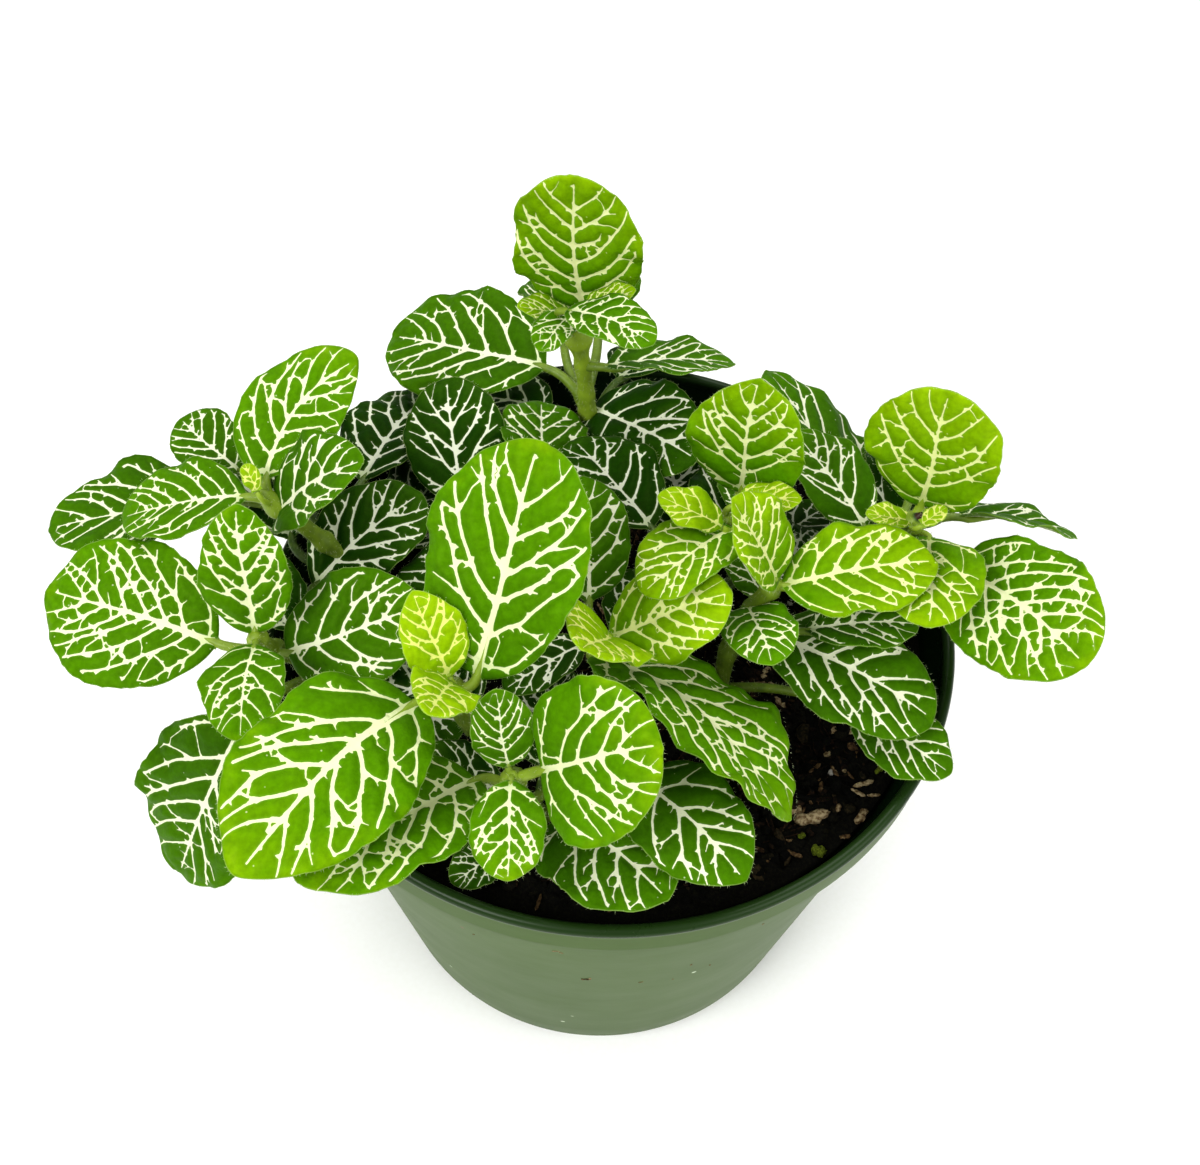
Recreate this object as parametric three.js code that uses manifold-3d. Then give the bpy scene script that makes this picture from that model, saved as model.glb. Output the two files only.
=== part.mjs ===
// A potted nerve plant: a small thin-walled nursery pot filled with potting mix, and the
// rooted cuttings that stand in it. Each cutting is a soft upright stem that carries short
// petioles and rounded, slightly cupped leaves with waved edges.
// Units are millimetres, +Z is up. The origin is the middle of the pot's foot.
import * as THREE from 'three';
import { mergeVertices } from 'three/addons/utils/BufferGeometryUtils.js';
import Module from 'manifold-3d';

const wasm = await Module();
wasm.setup();

// Pot
const RIM_RADIUS = 57;            // outside of the lip, a 4.5 inch nursery pot
const POT_HEIGHT = 91;
const BASE_RADIUS = 42.5;         // outside of the wall just above the feet
const BAND_HEIGHT = 8;            // upright band below the lip
const BAND_STEP = 1.6;            // how far the tapered wall sits inside the band
const BAND_SHOULDER = 1.2;        // height of the slope between the two
const WALL = 1.3;
const LIP = 1;                    // radius of the rolled edge
const FLOOR_Z = 2.0;              // underside of the pot's floor, above the feet
const FLOOR_TOP = 3.8;
const COVE = 3;                   // rounding between the floor and the wall
const POT_SIDES = 36;
const FOOT_COUNT = 10;
const FOOT_ARC = 18;              // degrees of the base ring that each foot takes
const FOOT_WIDTH = 4.5;
const FOOT_TURN = -88;            // degrees: one foot stands almost at the front
const CENTRE_PAD_RADIUS = 13;
const DRAIN_COUNT = 5;
const DRAIN_RADIUS = 4;
const DRAIN_RING = 27;

// Potting mix
const SOIL_LEVEL = 84;            // mean height of its top
const SOIL_GAP = 0.3;             // to the pot, and below the stems
const HOLE_GAP = 0.8;             // around a stem in its hole
const HOLE_TOP = 5;               // how far a hole's cut runs on above the second point of a stem
const SOIL_RINGS = 5;
const SOIL_DOME = 1.2;
const SOIL_LUMPS = 1.1;           // height of its lumps
const BROAD_WAVE = 0.21;          // radians for each mm across the broad lumps
const NARROW_WAVE = 0.43;         // and across the narrow ones
const CHIP_COUNT = 10;
const CHIP_RADIUS = 1.7;
const CHIP_RING = 24;             // distance of the chips from the middle, and its spread
const CHIP_SPREAD = 22;
const CHIP_START = -62;           // degrees: the first chip, and the arc that they take
const CHIP_ARC = 115;
const GOLDEN_ANGLE = 137.5;

// Plant
const STEM_RADIUS = 1.4;
const STEM_SIDES = 7;
const STEM_STEPS = 6;
const LOWEST_JOINT = 88;          // height of the lowest petiole on any stem
const PETIOLE_RADIUS = 0.75;
const TIP_SPOTS = 3;              // sixtieths of a stem at its tip that bear no petiole
const PETIOLE_SLOPE = 0.45;       // rise of a petiole for each mm that it reaches out
const PETIOLE_BEND = 0.45;        // where it bends, as a part of its reach before the blade
const LONG_PETIOLE = 14;          // length above which it gets one more section
const BLADE_THICKNESS = 0.7;
const BLADE_BASE = 0.62;          // exponent of the outline towards the base; each leaf has its tip's
const BLADE_NECK = 0.9;           // half width where blade and petiole meet
const BLADE_POINT = 0.35;         // half width of the blunt tip
const SMALL_LEAF = 19;            // length up to which a blade gets half the faces across
const LARGE_LEAF = 25;            // length above which it gets more of them along
const ROWS = 4;                   // steps along a blade
const LARGE_ROWS = 5;             // and along a large one
const LEAF_PHASE = 1.7;           // shifts the waves from leaf to leaf
const WAVES = 2;                  // waves along each edge
const WAVE_HEIGHT = 0.045;        // as a part of the blade's width

const rad = THREE.MathUtils.degToRad;

// A leaf's place and growth: the base of its blade, then the compass heading, rise and roll
// of its midrib there in degrees, length and width, how far it curls down along its length
// in degrees, how pointed its tip is, how deeply it is cupped, and how far its midrib sweeps
// sideways in degrees.
function leaf(x, y, z, heading, rise, roll, length, width, curl, tip, cup = 0.25, sweep = 0) {
  const base = new THREE.Vector3(x, y, z);
  return { base, heading, rise, roll, length, width, curl, tip, cup, sweep };
}

// Each leafy stem: the points its axis passes, from the buried end to the growing tip,
// and its leaves from the top down.
const STEMS = {
  stem_back: {
    axis: [[-5, 31, 72], [-5, 32, 86], [-5.5, 34, 104], [-7.5, 32, 124.5]],
    leaves: [
      leaf(-6.5, 37, 120.5, 63, 98, -19, 30.5, 20.5, 4, 0.5, 0.22),
      leaf(-8, 33, 124.5, -163, 29, -1, 10, 7, 10, 0.65, 0.3),
      leaf(-6.5, 30, 128, 6, 34, 2, 9.5, 6.5, 10, 0.65, 0.3),
      leaf(-8, 30.5, 127.5, -119, 10, -4, 10, 7, 20, 0.6, 0.5),
      leaf(-8.5, 27.5, 131, -32, 21, 4, 16, 11, 30, 0.62, 0.3),
      leaf(-13, 39, 107, 159, 0, 14, 32.5, 23.5, 25, 0.56, 0.2),
      leaf(-2.5, 32, 115, 2, 12, 23, 21.5, 15, 15, 0.68, 0.3),
      leaf(-4.5, 36, 100.5, -51, 28, -20, 26.5, 19.5, 25, 0.58),
      leaf(-12, 37, 98, 152, -6, 0, 22, 15.5, 25, 0.58),
      leaf(0, 44.5, 99.5, 55, -6, 17, 21, 15, 25, 0.58),
      leaf(-4, 45, 112, 95, 23, -15, 23, 16.5, 25, 0.58),
      leaf(2, 33, 90.5, 27, 2, 10, 20.5, 15, 25, 0.58),
      leaf(-10, 46.5, 106.5, 91, -5, -7, 24, 17, 25, 0.58),
    ],
  },
  stem_left_back: {
    axis: [[-37, 5, 72], [-39, 5, 86], [-46, 4, 99], [-54.5, 2, 114.5]],
    leaves: [
      leaf(-54, 4.5, 115, 88, 26, 0, 21.5, 16, 15, 0.62, 0.15, 62),
      leaf(-54.5, 1, 116, 123, 47, 0, 4.5, 3, 10, 0.5, 0.4),
      leaf(-57, 2.5, 113, -178, -3, 3, 21.5, 15, 25, 0.6),
      leaf(-52, 1, 111, -11, 57, -19, 21.5, 15.5, 25, 0.72, 0.55),
      leaf(-61, 12.5, 107, 142, 15, 15, 15, 11, 20, 0.55),
      leaf(-65.5, 13, 99, -166, 9, -5, 28.5, 20, 22, 0.6),
      leaf(-54, 10, 105, 67, 34, -2, 11, 7.5, 20, 0.6),
      leaf(-43, 18.5, 99, 70, 5, 13, 28, 20, 25, 0.6),
      leaf(-48.5, -1, 95, 42, 28, -7, 23.5, 17, 25, 0.58),
      leaf(-54, 9, 94.5, 108, 8, 0, 24, 17, 28, 0.58),
      leaf(-52.5, 16, 101, 104, 18, -17, 21, 15, 25, 0.58),
      leaf(-36, 12.5, 95.5, 64, 4, 7, 22, 16, 25, 0.58),
    ],
  },
  stem_left_front: {
    axis: [[-39, -12, 72], [-41, -12.5, 86], [-51, -15.5, 97], [-53, -19.5, 107]],
    leaves: [
      leaf(-53, -18.5, 106.5, 96, 70, 4, 21.5, 13.5, 8, 0.7),
      leaf(-52.5, -21, 107, -88, 19, -1, 16.5, 12, 40, 0.6, 0.3),
      leaf(-59.5, -18, 102.5, 166, 9, 24, 29.5, 23.5, 18, 0.62, 0.18),
      leaf(-49.5, -17.5, 100, 2, 32, -31, 24, 18, 22, 0.58),
      leaf(-55.5, -26.5, 93, -137, -45, 9, 34.5, 24.5, 25, 0.66, 0.2),
      leaf(-37.5, -14.5, 90.5, -42, 19, -6, 20, 14.5, 25, 0.58),
      leaf(-50.5, -11, 96.5, 122, 22, -11, 16, 11.5, 25, 0.58),
    ],
  },
  stem_front_left: {
    axis: [[-17, -22, 72], [-18, -24, 86], [-21, -29, 102], [-22, -32.5, 117.5]],
    leaves: [
      leaf(-22, -32, 118, 127, 58, 4, 13.5, 9.5, 10, 0.75, 0.35),
      leaf(-21.5, -33, 118, -95, 47, 22, 13.5, 9.5, 15, 0.7, 0.4),
      leaf(-18.5, -31.5, 117, 69, 57, 5, 34.5, 23.5, 15, 0.52, 0.22),
      leaf(-26.5, -33, 113, -128, 22, 9, 35, 23.5, 36, 0.7, 0.18, -10),
      leaf(-25, -25, 100, 160, 5, 0, 20, 14, 25, 0.58),
      leaf(-20.5, -19.5, 90.5, 127, 12, 15, 14, 10, 25, 0.58),
    ],
  },
  stem_front: {
    axis: [[-10, -36, 72], [-10, -37, 86], [-12, -40, 98], [-13, -41.5, 108.5]],
    leaves: [
      leaf(-13.5, -40.5, 109, 108, 62, 6, 12, 9, 10, 0.6, 0.3),
      leaf(-13, -42.5, 108.5, -90, 2, -1, 14, 10.5, 50, 0.6, 0.3),
      leaf(-9, -42, 111, -40, 58, -56, 23, 22, 44, 0.5, 0.32),
      leaf(-18, -39, 102.5, -140, 26, -7, 30.5, 20.5, 28, 0.62, 0.22),
      leaf(-6.5, -38, 89, -50, 41, -4, 27.5, 19.5, 25, 0.64),
      leaf(4.5, -37, 102, -48, 13, -7, 22.5, 16, 22, 0.7),
      leaf(-15, -43, 87.5, -140, 8, 3, 9, 7, 10, 0.6),
      leaf(-9.5, -30.5, 91, 89, 12, 23, 18, 13, 25, 0.58),
      leaf(-15.5, -36, 92.5, 158, 29, -15, 13.5, 10, 25, 0.58),
    ],
  },
  stem_middle: {
    axis: [[-1, -12, 72], [-1, -13, 86], [-0.5, -17, 100], [0, -20, 112]],
    leaves: [
      leaf(0, -19.5, 111, 4, 36, -21, 19.5, 14.5, 15, 0.62),
      leaf(0, -20.5, 112.5, -103, 56, 26, 20, 14.5, 15, 0.68, 0.5),
      leaf(-2.5, -19, 105.5, -25, 16, 40, 39.5, 28, 50, 0.7, 0.2),
      leaf(-3.5, -8, 103.5, 92, 36, -16, 20.5, 14, 25, 0.6),
      leaf(-4, -13, 99, -151, 2, -8, 14.5, 10, 25, 0.6),
      leaf(3, -12, 96, 75, 10, 0, 18, 13, 25, 0.6),
    ],
  },
  stem_middle_back: {
    axis: [[-18, 9, 72], [-18, 9, 86], [-18.5, 9.5, 96], [-19, 10, 103]],
    leaves: [
      leaf(-25.5, 14, 99, 101, 29, 7, 23.5, 17, 20, 0.6),
      leaf(-11.5, 15.5, 104.5, 94, 5, -10, 19.5, 15, 20, 0.55),
      leaf(-20, 4, 97, -150, 5, 0, 18, 13, 25, 0.6),
      leaf(-17.5, 15, 91, 94, -2, 7, 18.5, 13.5, 25, 0.58),
      leaf(-29, 12, 91, 149, 0, -10, 18.5, 13.5, 25, 0.58),
    ],
  },
  stem_right_back: {
    axis: [[14, 1, 72], [14, 1, 86], [15, -1, 104], [16.5, -4, 120]],
    leaves: [
      leaf(19, 5, 116, 74, 92, 2, 23, 18, 12, 0.72),
      leaf(15.5, -6.5, 121.5, 164, 25, 0, 10.5, 7.5, 15, 0.65, 0.35),
      leaf(17.5, -1.5, 120.5, 0, 20, 4, 10, 7, 15, 0.65, 0.35),
      leaf(17.5, -6, 120.5, -143, 17, -9, 18, 13, 45, 0.55, 0.3),
      leaf(6, 5.5, 105.5, 127, 18, -3, 22, 16, 30, 0.6),
      leaf(17, 6, 101, 70, 12, 0, 24, 17, 25, 0.6),
      leaf(20, 2, 98, 30, 5, 0, 20, 14, 25, 0.6),
      leaf(23.5, 10, 90.5, 49, 4, 9, 23, 16.5, 25, 0.58),
      leaf(12, 14.5, 92, 102, 28, -2, 24.5, 17.5, 25, 0.58),
      leaf(20.5, 6.5, 108, 75, 3, 9, 19, 13.5, 25, 0.58),
    ],
  },
  stem_right_front: {
    axis: [[18, -13, 72], [18, -13, 86], [19.5, -11.5, 103], [24.5, -10.5, 114.5]],
    leaves: [
      leaf(24, -11.5, 115.5, 163, 66, 9, 17.5, 12.5, 10, 0.65, 0.6),
      leaf(25, -11, 114, 4, 20, -4, 23, 16, 18, 0.64),
      leaf(20.5, -11.5, 109, -82, 36, -6, 15.5, 11, 30, 0.55, 0.3),
      leaf(24.5, -4.5, 101, 126, 28, -1, 11, 7.5, 20, 0.6),
      leaf(24.5, -11.5, 102.5, -29, 7, -3, 28.5, 19.5, 28, 0.62),
      leaf(29.5, -13.5, 106.5, 4, 14, 12, 17, 11.5, 20, 0.6),
      leaf(38, -20.5, 94.5, -34, 4, 1, 17.5, 13, 12, 0.64),
    ],
  },
  stem_right: {
    axis: [[37, 3, 72], [38, 3, 86], [42, 2.5, 104], [46, 0.5, 118]],
    leaves: [
      leaf(46, 2, 118, 56, 99, -9, 25.5, 19.5, 12, 0.5, 0.22),
      leaf(48, -0.5, 113.5, -100, 25, -7, 18.5, 16, 40, 0.56),
      leaf(53.5, 0.5, 107, -67, 29, -30, 29.5, 21, 30, 0.52, 0.2),
      leaf(54, 6.5, 111, -4, 13, 38, 18.5, 13, 30, 0.72, 0.3),
      leaf(45, 0.5, 116, -180, 16, -4, 7.5, 5, 10, 0.6, 0.4),
      leaf(45.5, -2.5, 119, 24, 37, -3, 4.5, 3, 10, 0.6, 0.4),
      leaf(41.5, 10, 101.5, 118, 28, -31, 32.5, 22.5, 20, 0.72, 0.2),
      leaf(39.5, 5, 108.5, 128, 30, -2, 19, 13, 20, 0.6),
      leaf(47, 9, 104, 78, 15, 0, 24, 17, 30, 0.6),
      leaf(52, -4, 103, 5, -5, 0, 22, 16, 30, 0.6),
      leaf(45, 15.5, 93.5, 84, 14, -5, 21.5, 15.5, 25, 0.58),
      leaf(47.5, 12, 109, 72, 28, -15, 19.5, 14, 25, 0.58),
      leaf(48, 12.5, 98.5, 59, 21, 20, 22, 16, 25, 0.58),
    ],
  },
};

// Solids

function solidOf(geometry) {
  const bare = geometry.clone();
  for (const name of Object.keys(bare.attributes)) {
    if (name !== 'position') bare.deleteAttribute(name);
  }
  const merged = mergeVertices(bare, 1e-4);
  return new wasm.Manifold(new wasm.Mesh({
    numProp: 3,
    vertProperties: Float32Array.from(merged.attributes.position.array),
    triVerts: Uint32Array.from(merged.index.array),
  }));
}

function geometryOf(solid) {
  const mesh = solid.getMesh();
  const geometry = new THREE.BufferGeometry();
  geometry.setAttribute('position', new THREE.BufferAttribute(mesh.vertProperties, 3));
  geometry.setIndex(new THREE.BufferAttribute(mesh.triVerts, 1));
  geometry.computeVertexNormals();
  return geometry;
}

function joined(solids) {
  return solids.reduce((whole, next) => whole.add(next));
}

// A closed geometry from points and faces given as vertex numbers.
function geometryFrom(points, faces) {
  const places = points.flatMap((p) => p.toArray());
  const geometry = new THREE.BufferGeometry();
  geometry.setAttribute('position', new THREE.Float32BufferAttribute(places, 3));
  geometry.setIndex(faces.flat());
  return geometry;
}

function regularOutline(radius, sides) {
  const outline = new THREE.Shape();
  for (let i = 0; i < sides; i++) {
    const turn = (2 * Math.PI * i) / sides;
    const point = [radius * Math.cos(turn), radius * Math.sin(turn)];
    if (i === 0) outline.moveTo(...point);
    else outline.lineTo(...point);
  }
  outline.closePath();
  return outline;
}

// A round rod of few sides along a curve.
function rod(curve, radius, sides, steps) {
  const options = { steps, bevelEnabled: false, extrudePath: curve };
  return solidOf(new THREE.ExtrudeGeometry(regularOutline(radius, sides), options));
}

// A turned body from its profile of [radius, height] points, the foot's outside first.
function turned(profile, sides = POT_SIDES) {
  const points = profile.map(([r, z]) => new THREE.Vector2(r, z));
  return solidOf(new THREE.LatheGeometry(points, sides).rotateX(Math.PI / 2));
}

// An upright block of a ring between two radii, over part of a turn.
function ringBlock(inner, outer, fromZ, toZ, startDegrees, arcDegrees, steps) {
  const outline = new THREE.Shape();
  const at = (radius, degrees) => [radius * Math.cos(rad(degrees)), radius * Math.sin(rad(degrees))];
  outline.moveTo(...at(inner, startDegrees));
  for (let i = 0; i <= steps; i++) outline.lineTo(...at(outer, startDegrees + (arcDegrees * i) / steps));
  for (let i = steps; i > 0; i--) outline.lineTo(...at(inner, startDegrees + (arcDegrees * i) / steps));
  outline.closePath();
  const options = { depth: toZ - fromZ, bevelEnabled: false };
  return solidOf(new THREE.ExtrudeGeometry(outline, options).translate(0, 0, fromZ));
}

// An upright round plug.
function plug(x, y, radius, fromZ, toZ, sides) {
  const geometry = new THREE.CylinderGeometry(radius, radius, toZ - fromZ, sides);
  return solidOf(geometry.rotateX(Math.PI / 2).translate(x, y, (fromZ + toZ) / 2));
}

// Pot

// Outside radius of the tapered wall at a height.
function wallRadius(z) {
  const top = RIM_RADIUS - LIP - BAND_STEP;
  const share = (z - FLOOR_Z) / (POT_HEIGHT - BAND_HEIGHT - FLOOR_Z);
  return BASE_RADIUS + (top - BASE_RADIUS) * share;
}

// The pot's turned wall and floor: a coved foot, a tapered side, a shallow step out to
// the upright band, and a rolled lip.
function potBody() {
  const bandFoot = POT_HEIGHT - BAND_HEIGHT;
  const bandRadius = RIM_RADIUS - LIP / 2;
  const lipFoot = POT_HEIGHT - 2 * LIP;
  const stepFoot = bandFoot - BAND_SHOULDER;
  const profile = [
    [0, FLOOR_Z],
    [BASE_RADIUS - COVE, FLOOR_Z],
    [BASE_RADIUS - COVE / 3, FLOOR_Z + COVE / 3],
    [wallRadius(FLOOR_Z + COVE), FLOOR_Z + COVE],
    [wallRadius(stepFoot), stepFoot],
    [bandRadius - BAND_SHOULDER / 2, bandFoot],
    [bandRadius, lipFoot],
    [RIM_RADIUS, POT_HEIGHT - LIP],
    [RIM_RADIUS - LIP / 3, POT_HEIGHT - LIP / 3],
    [RIM_RADIUS - LIP, POT_HEIGHT],
    [RIM_RADIUS - 2 * LIP, POT_HEIGHT - LIP],
    [bandRadius - WALL, lipFoot],
    [bandRadius - WALL, bandFoot + BAND_SHOULDER],
    [wallRadius(stepFoot) - WALL, stepFoot],
    [wallRadius(FLOOR_TOP + COVE) - WALL, FLOOR_TOP + COVE],
    [BASE_RADIUS - WALL - COVE, FLOOR_TOP],
    [0, FLOOR_TOP],
  ];
  return turned(profile);
}

function pot() {
  const footOuter = BASE_RADIUS - COVE / 2;
  const footTop = (FLOOR_Z + FLOOR_TOP) / 2;
  const pieces = [potBody(), plug(0, 0, CENTRE_PAD_RADIUS, 0, footTop, 18)];
  for (let i = 0; i < FOOT_COUNT; i++) {
    const start = FOOT_TURN + (360 * i) / FOOT_COUNT - FOOT_ARC / 2;
    pieces.push(ringBlock(footOuter - FOOT_WIDTH, footOuter, 0, footTop, start, FOOT_ARC, 2));
  }
  const drains = [];
  for (let i = 0; i < DRAIN_COUNT; i++) {
    const turn = (2 * Math.PI * (i + 0.5)) / DRAIN_COUNT;
    const [x, y] = [DRAIN_RING * Math.cos(turn), DRAIN_RING * Math.sin(turn)];
    drains.push(plug(x, y, DRAIN_RADIUS, 0, 2 * FLOOR_TOP, 10));
  }
  return joined(pieces).subtract(joined(drains));
}

// Potting mix

// Height of the mix: low lumps on a slight dome, which die out at the wall.
function soilHeight(x, y) {
  const calm = 1 - (Math.hypot(x, y) / wallRadius(SOIL_LEVEL)) ** 4;
  const broad = Math.sin(x * BROAD_WAVE + 1.3) * Math.cos(y * 0.8 * BROAD_WAVE - 0.6);
  const narrow = 0.6 * Math.sin(x * NARROW_WAVE - y * 0.9 * NARROW_WAVE);
  return SOIL_LEVEL + calm * (SOIL_DOME + SOIL_LUMPS * (broad + narrow));
}

// The mix fills the pot to SOIL_LEVEL, a hair clear of its wall and floor.
function soilBody() {
  const stepFoot = POT_HEIGHT - BAND_HEIGHT - BAND_SHOULDER;
  const bottom = FLOOR_TOP + SOIL_GAP;
  const brim = wallRadius(stepFoot) - WALL - SOIL_GAP;
  const points = [];
  const addRing = (radius, height) => {
    for (let i = 0; i < POT_SIDES; i++) {
      const turn = (2 * Math.PI * i) / POT_SIDES;
      const [x, y] = [radius * Math.sin(turn), radius * Math.cos(turn)];
      points.push(new THREE.Vector3(x, y, height ?? soilHeight(x, y)));
    }
  };
  for (let k = 1; k < SOIL_RINGS; k++) addRing((brim * k) / SOIL_RINGS);
  addRing(brim, SOIL_LEVEL);
  addRing(brim, stepFoot);
  addRing(wallRadius(FLOOR_TOP + COVE) - WALL - SOIL_GAP, FLOOR_TOP + COVE);
  addRing(BASE_RADIUS - WALL - COVE - SOIL_GAP, bottom);
  const last = points.length - POT_SIDES;
  const crown = points.push(new THREE.Vector3(0, 0, soilHeight(0, 0))) - 1;
  const underside = points.push(new THREE.Vector3(0, 0, bottom)) - 1;
  const faces = [];
  for (let i = 0; i < POT_SIDES; i++) {
    const j = (i + 1) % POT_SIDES;
    faces.push([crown, j, i], [last + i, last + j, underside]);
    for (let a = 0; a < last; a += POT_SIDES) {
      const b = a + POT_SIDES;
      faces.push([a + i, a + j, b + j], [a + i, b + j, b + i]);
    }
  }
  return solidOf(geometryFrom(points, faces));
}

// Bark and perlite lumps that stand out of the mix: flattened few-sided stones, spread
// by the golden angle over the side that the leaves leave open.
function soilChips() {
  const chips = [];
  for (let i = 0; i < CHIP_COUNT; i++) {
    const radius = CHIP_RING + ((i * 7) % CHIP_SPREAD);
    const turn = rad(CHIP_START + ((i * GOLDEN_ANGLE) % CHIP_ARC));
    const [x, y] = [radius * Math.cos(turn), radius * Math.sin(turn)];
    const chip = new THREE.IcosahedronGeometry(CHIP_RADIUS * (1 + 0.3 * (i % 3)), 0);
    chip.scale(1.3, 0.9, 0.7).rotateZ(1.9 * i).rotateX(0.3).translate(x, y, soilHeight(x, y));
    chips.push(solidOf(chip));
  }
  return chips;
}

function soil() {
  const holes = Object.values(STEMS).map((stem) => {
    const [foot, collar] = stem.axis.slice(0, 2).map((p) => new THREE.Vector3(...p));
    const line = collar.clone().sub(foot).normalize();
    foot.addScaledVector(line, -SOIL_GAP);
    collar.addScaledVector(line, HOLE_TOP);
    return rod(new THREE.LineCurve3(foot, collar), STEM_RADIUS + HOLE_GAP, STEM_SIDES, 1);
  });
  return joined([soilBody(), ...soilChips()]).subtract(joined(holes));
}

// Plant

function stemCurve({ axis }) {
  return new THREE.CatmullRomCurve3(axis.map((p) => new THREE.Vector3(...p)));
}

// Half width of a blade at a share s of its length, from base to tip.
function halfWidth(s, { width, tip }) {
  const peak = BLADE_BASE / (BLADE_BASE + tip);
  const full = peak ** BLADE_BASE * (1 - peak) ** tip;
  return ((width / 2) * s ** BLADE_BASE * (1 - s) ** tip) / full;
}

// The three directions of a blade at its base: along, across and up from its face.
function bladeAxes({ heading, rise, roll }) {
  const [h, p, r] = [rad(heading), rad(rise), rad(roll)];
  const along = new THREE.Vector3(Math.cos(p) * Math.cos(h), Math.cos(p) * Math.sin(h), Math.sin(p));
  const level = new THREE.Vector3(Math.sin(h), -Math.cos(h), 0);
  const face = level.clone().cross(along);
  const across = level.clone().multiplyScalar(Math.cos(r)).addScaledVector(face, Math.sin(r));
  const up = face.multiplyScalar(Math.cos(r)).addScaledVector(level, -Math.sin(r));
  return { along, across, up };
}

// A point of the blade's middle surface and its normal: s runs from base to tip, t from
// -1 to 1 across, and half is the half width there.
function bladePoint(spec, axes, s, t, half, phase) {
  const curl = rad(spec.curl);
  const sweep = rad(spec.sweep);
  const turn = curl * s;
  const reach = (spec.length * Math.sin(turn)) / curl;
  const drop = (-spec.length * (1 - Math.cos(turn))) / curl;
  const edge = Math.abs(t);
  const cup = half * spec.cup * (edge * (1 - 0.45 * s) - 0.25 * t * t);
  const wave = WAVE_HEIGHT * spec.width * edge ** 3 * Math.sin(Math.PI * s)
    * Math.sin(2 * Math.PI * WAVES * s + phase + (t > 0 ? 0 : 2));
  const aside = half * t * Math.cos(sweep * s) + (spec.length * sweep * s * s) / 2;
  const ahead = reach - half * t * Math.sin(sweep * s);
  const normal = axes.up.clone()
    .multiplyScalar(Math.cos(turn))
    .addScaledVector(axes.along, Math.sin(turn));
  const point = spec.base.clone()
    .addScaledVector(axes.along, ahead)
    .addScaledVector(axes.across, aside)
    .addScaledVector(axes.up, drop)
    .addScaledVector(normal, cup + wave);
  return { point, normal };
}

// Where a petiole leaves the stem: lower on the stem the further out its blade starts.
function jointOn(curve, base) {
  const spots = curve.getPoints(60).slice(0, -TIP_SPOTS);
  const reach = Math.min(...spots.map((p) => Math.hypot(p.x - base.x, p.y - base.y)));
  const height = Math.max(base.z - PETIOLE_SLOPE * reach - PETIOLE_RADIUS, LOWEST_JOINT);
  return spots.reduce((best, p) => (Math.abs(p.z - height) < Math.abs(best.z - height) ? p : best));
}

// Round cross-sections of the petiole, which springs from the stem and bends into the
// line of the blade's midrib. Each section runs over the top and back below.
function petioleSections(curve, spec, axes, columns) {
  const start = jointOn(curve, spec.base);
  const reach = start.distanceTo(spec.base);
  const bend = spec.base.clone().addScaledVector(axes.along, -PETIOLE_BEND * reach);
  const path = new THREE.QuadraticBezierCurve3(start, bend, spec.base);
  const steps = reach > LONG_PETIOLE ? 3 : 2;
  const count = 2 * (columns + 1);
  const sections = [];
  for (let k = 0; k < steps; k++) {
    const centre = path.getPoint(k / steps);
    const line = path.getTangent(k / steps);
    const across = axes.across.clone().addScaledVector(line, -axes.across.dot(line)).normalize();
    const up = across.clone().cross(line);
    const section = [];
    for (let m = 0; m < count; m++) {
      const turn = Math.PI - (2 * Math.PI * (m + 0.5)) / count;
      section.push(centre.clone()
        .addScaledVector(across, PETIOLE_RADIUS * Math.cos(turn))
        .addScaledVector(up, PETIOLE_RADIUS * Math.sin(turn)));
    }
    sections.push(section);
  }
  return sections;
}

// Cross-sections of the blade from its neck to its tip.
function bladeSections(spec, axes, columns, phase) {
  const rows = spec.length > LARGE_LEAF ? LARGE_ROWS : ROWS;
  const sections = [];
  for (let i = 0; i <= rows; i++) {
    const s = i === 0 ? 0 : 0.5 - 0.5 * Math.cos(Math.PI * (i / rows) ** 0.9);
    const half = Math.max(halfWidth(s, spec), i === rows ? BLADE_POINT : BLADE_NECK);
    const upper = [];
    const lower = [];
    for (let j = 0; j <= columns; j++) {
      const { point, normal } = bladePoint(spec, axes, s, -1 + (2 * j) / columns, half, phase);
      upper.push(point.clone().addScaledVector(normal, BLADE_THICKNESS / 2));
      lower.unshift(point.clone().addScaledVector(normal, -BLADE_THICKNESS / 2));
    }
    sections.push([...upper, ...lower]);
  }
  return sections;
}

// A leaf and its petiole as one closed skin over its cross-sections. The faces fold along
// lines that run from the midrib outwards and forwards, as the side veins do, and the
// upper and lower face fold alike.
function leafSolid(curve, spec, phase) {
  const axes = bladeAxes(spec);
  const columns = spec.length > SMALL_LEAF ? 4 : 2;
  const count = 2 * (columns + 1);
  const sections = [
    ...petioleSections(curve, spec, axes, columns),
    ...bladeSections(spec, axes, columns, phase),
  ];
  const faces = [];
  for (let k = 0; k + 1 < sections.length; k++) {
    for (let m = 0; m < count; m++) {
      const n = (m + 1) % count;
      const [a, b, c, d] = [k * count + m, k * count + n, (k + 1) * count + n, (k + 1) * count + m];
      const column = m <= columns ? m : count - 2 - m;
      if ((m <= columns) === (column < columns / 2)) faces.push([a, b, d], [b, c, d]);
      else faces.push([a, b, c], [a, c, d]);
    }
  }
  const last = (sections.length - 1) * count;
  for (let j = 0; j < columns; j++) {
    const [a, b, c, d] = [j, j + 1, count - 2 - j, count - 1 - j];
    faces.push([a, d, c], [a, c, b]);
    faces.push([last + a, last + c, last + d], [last + a, last + b, last + c]);
  }
  return solidOf(geometryFrom(sections.flat(), faces));
}

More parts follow.
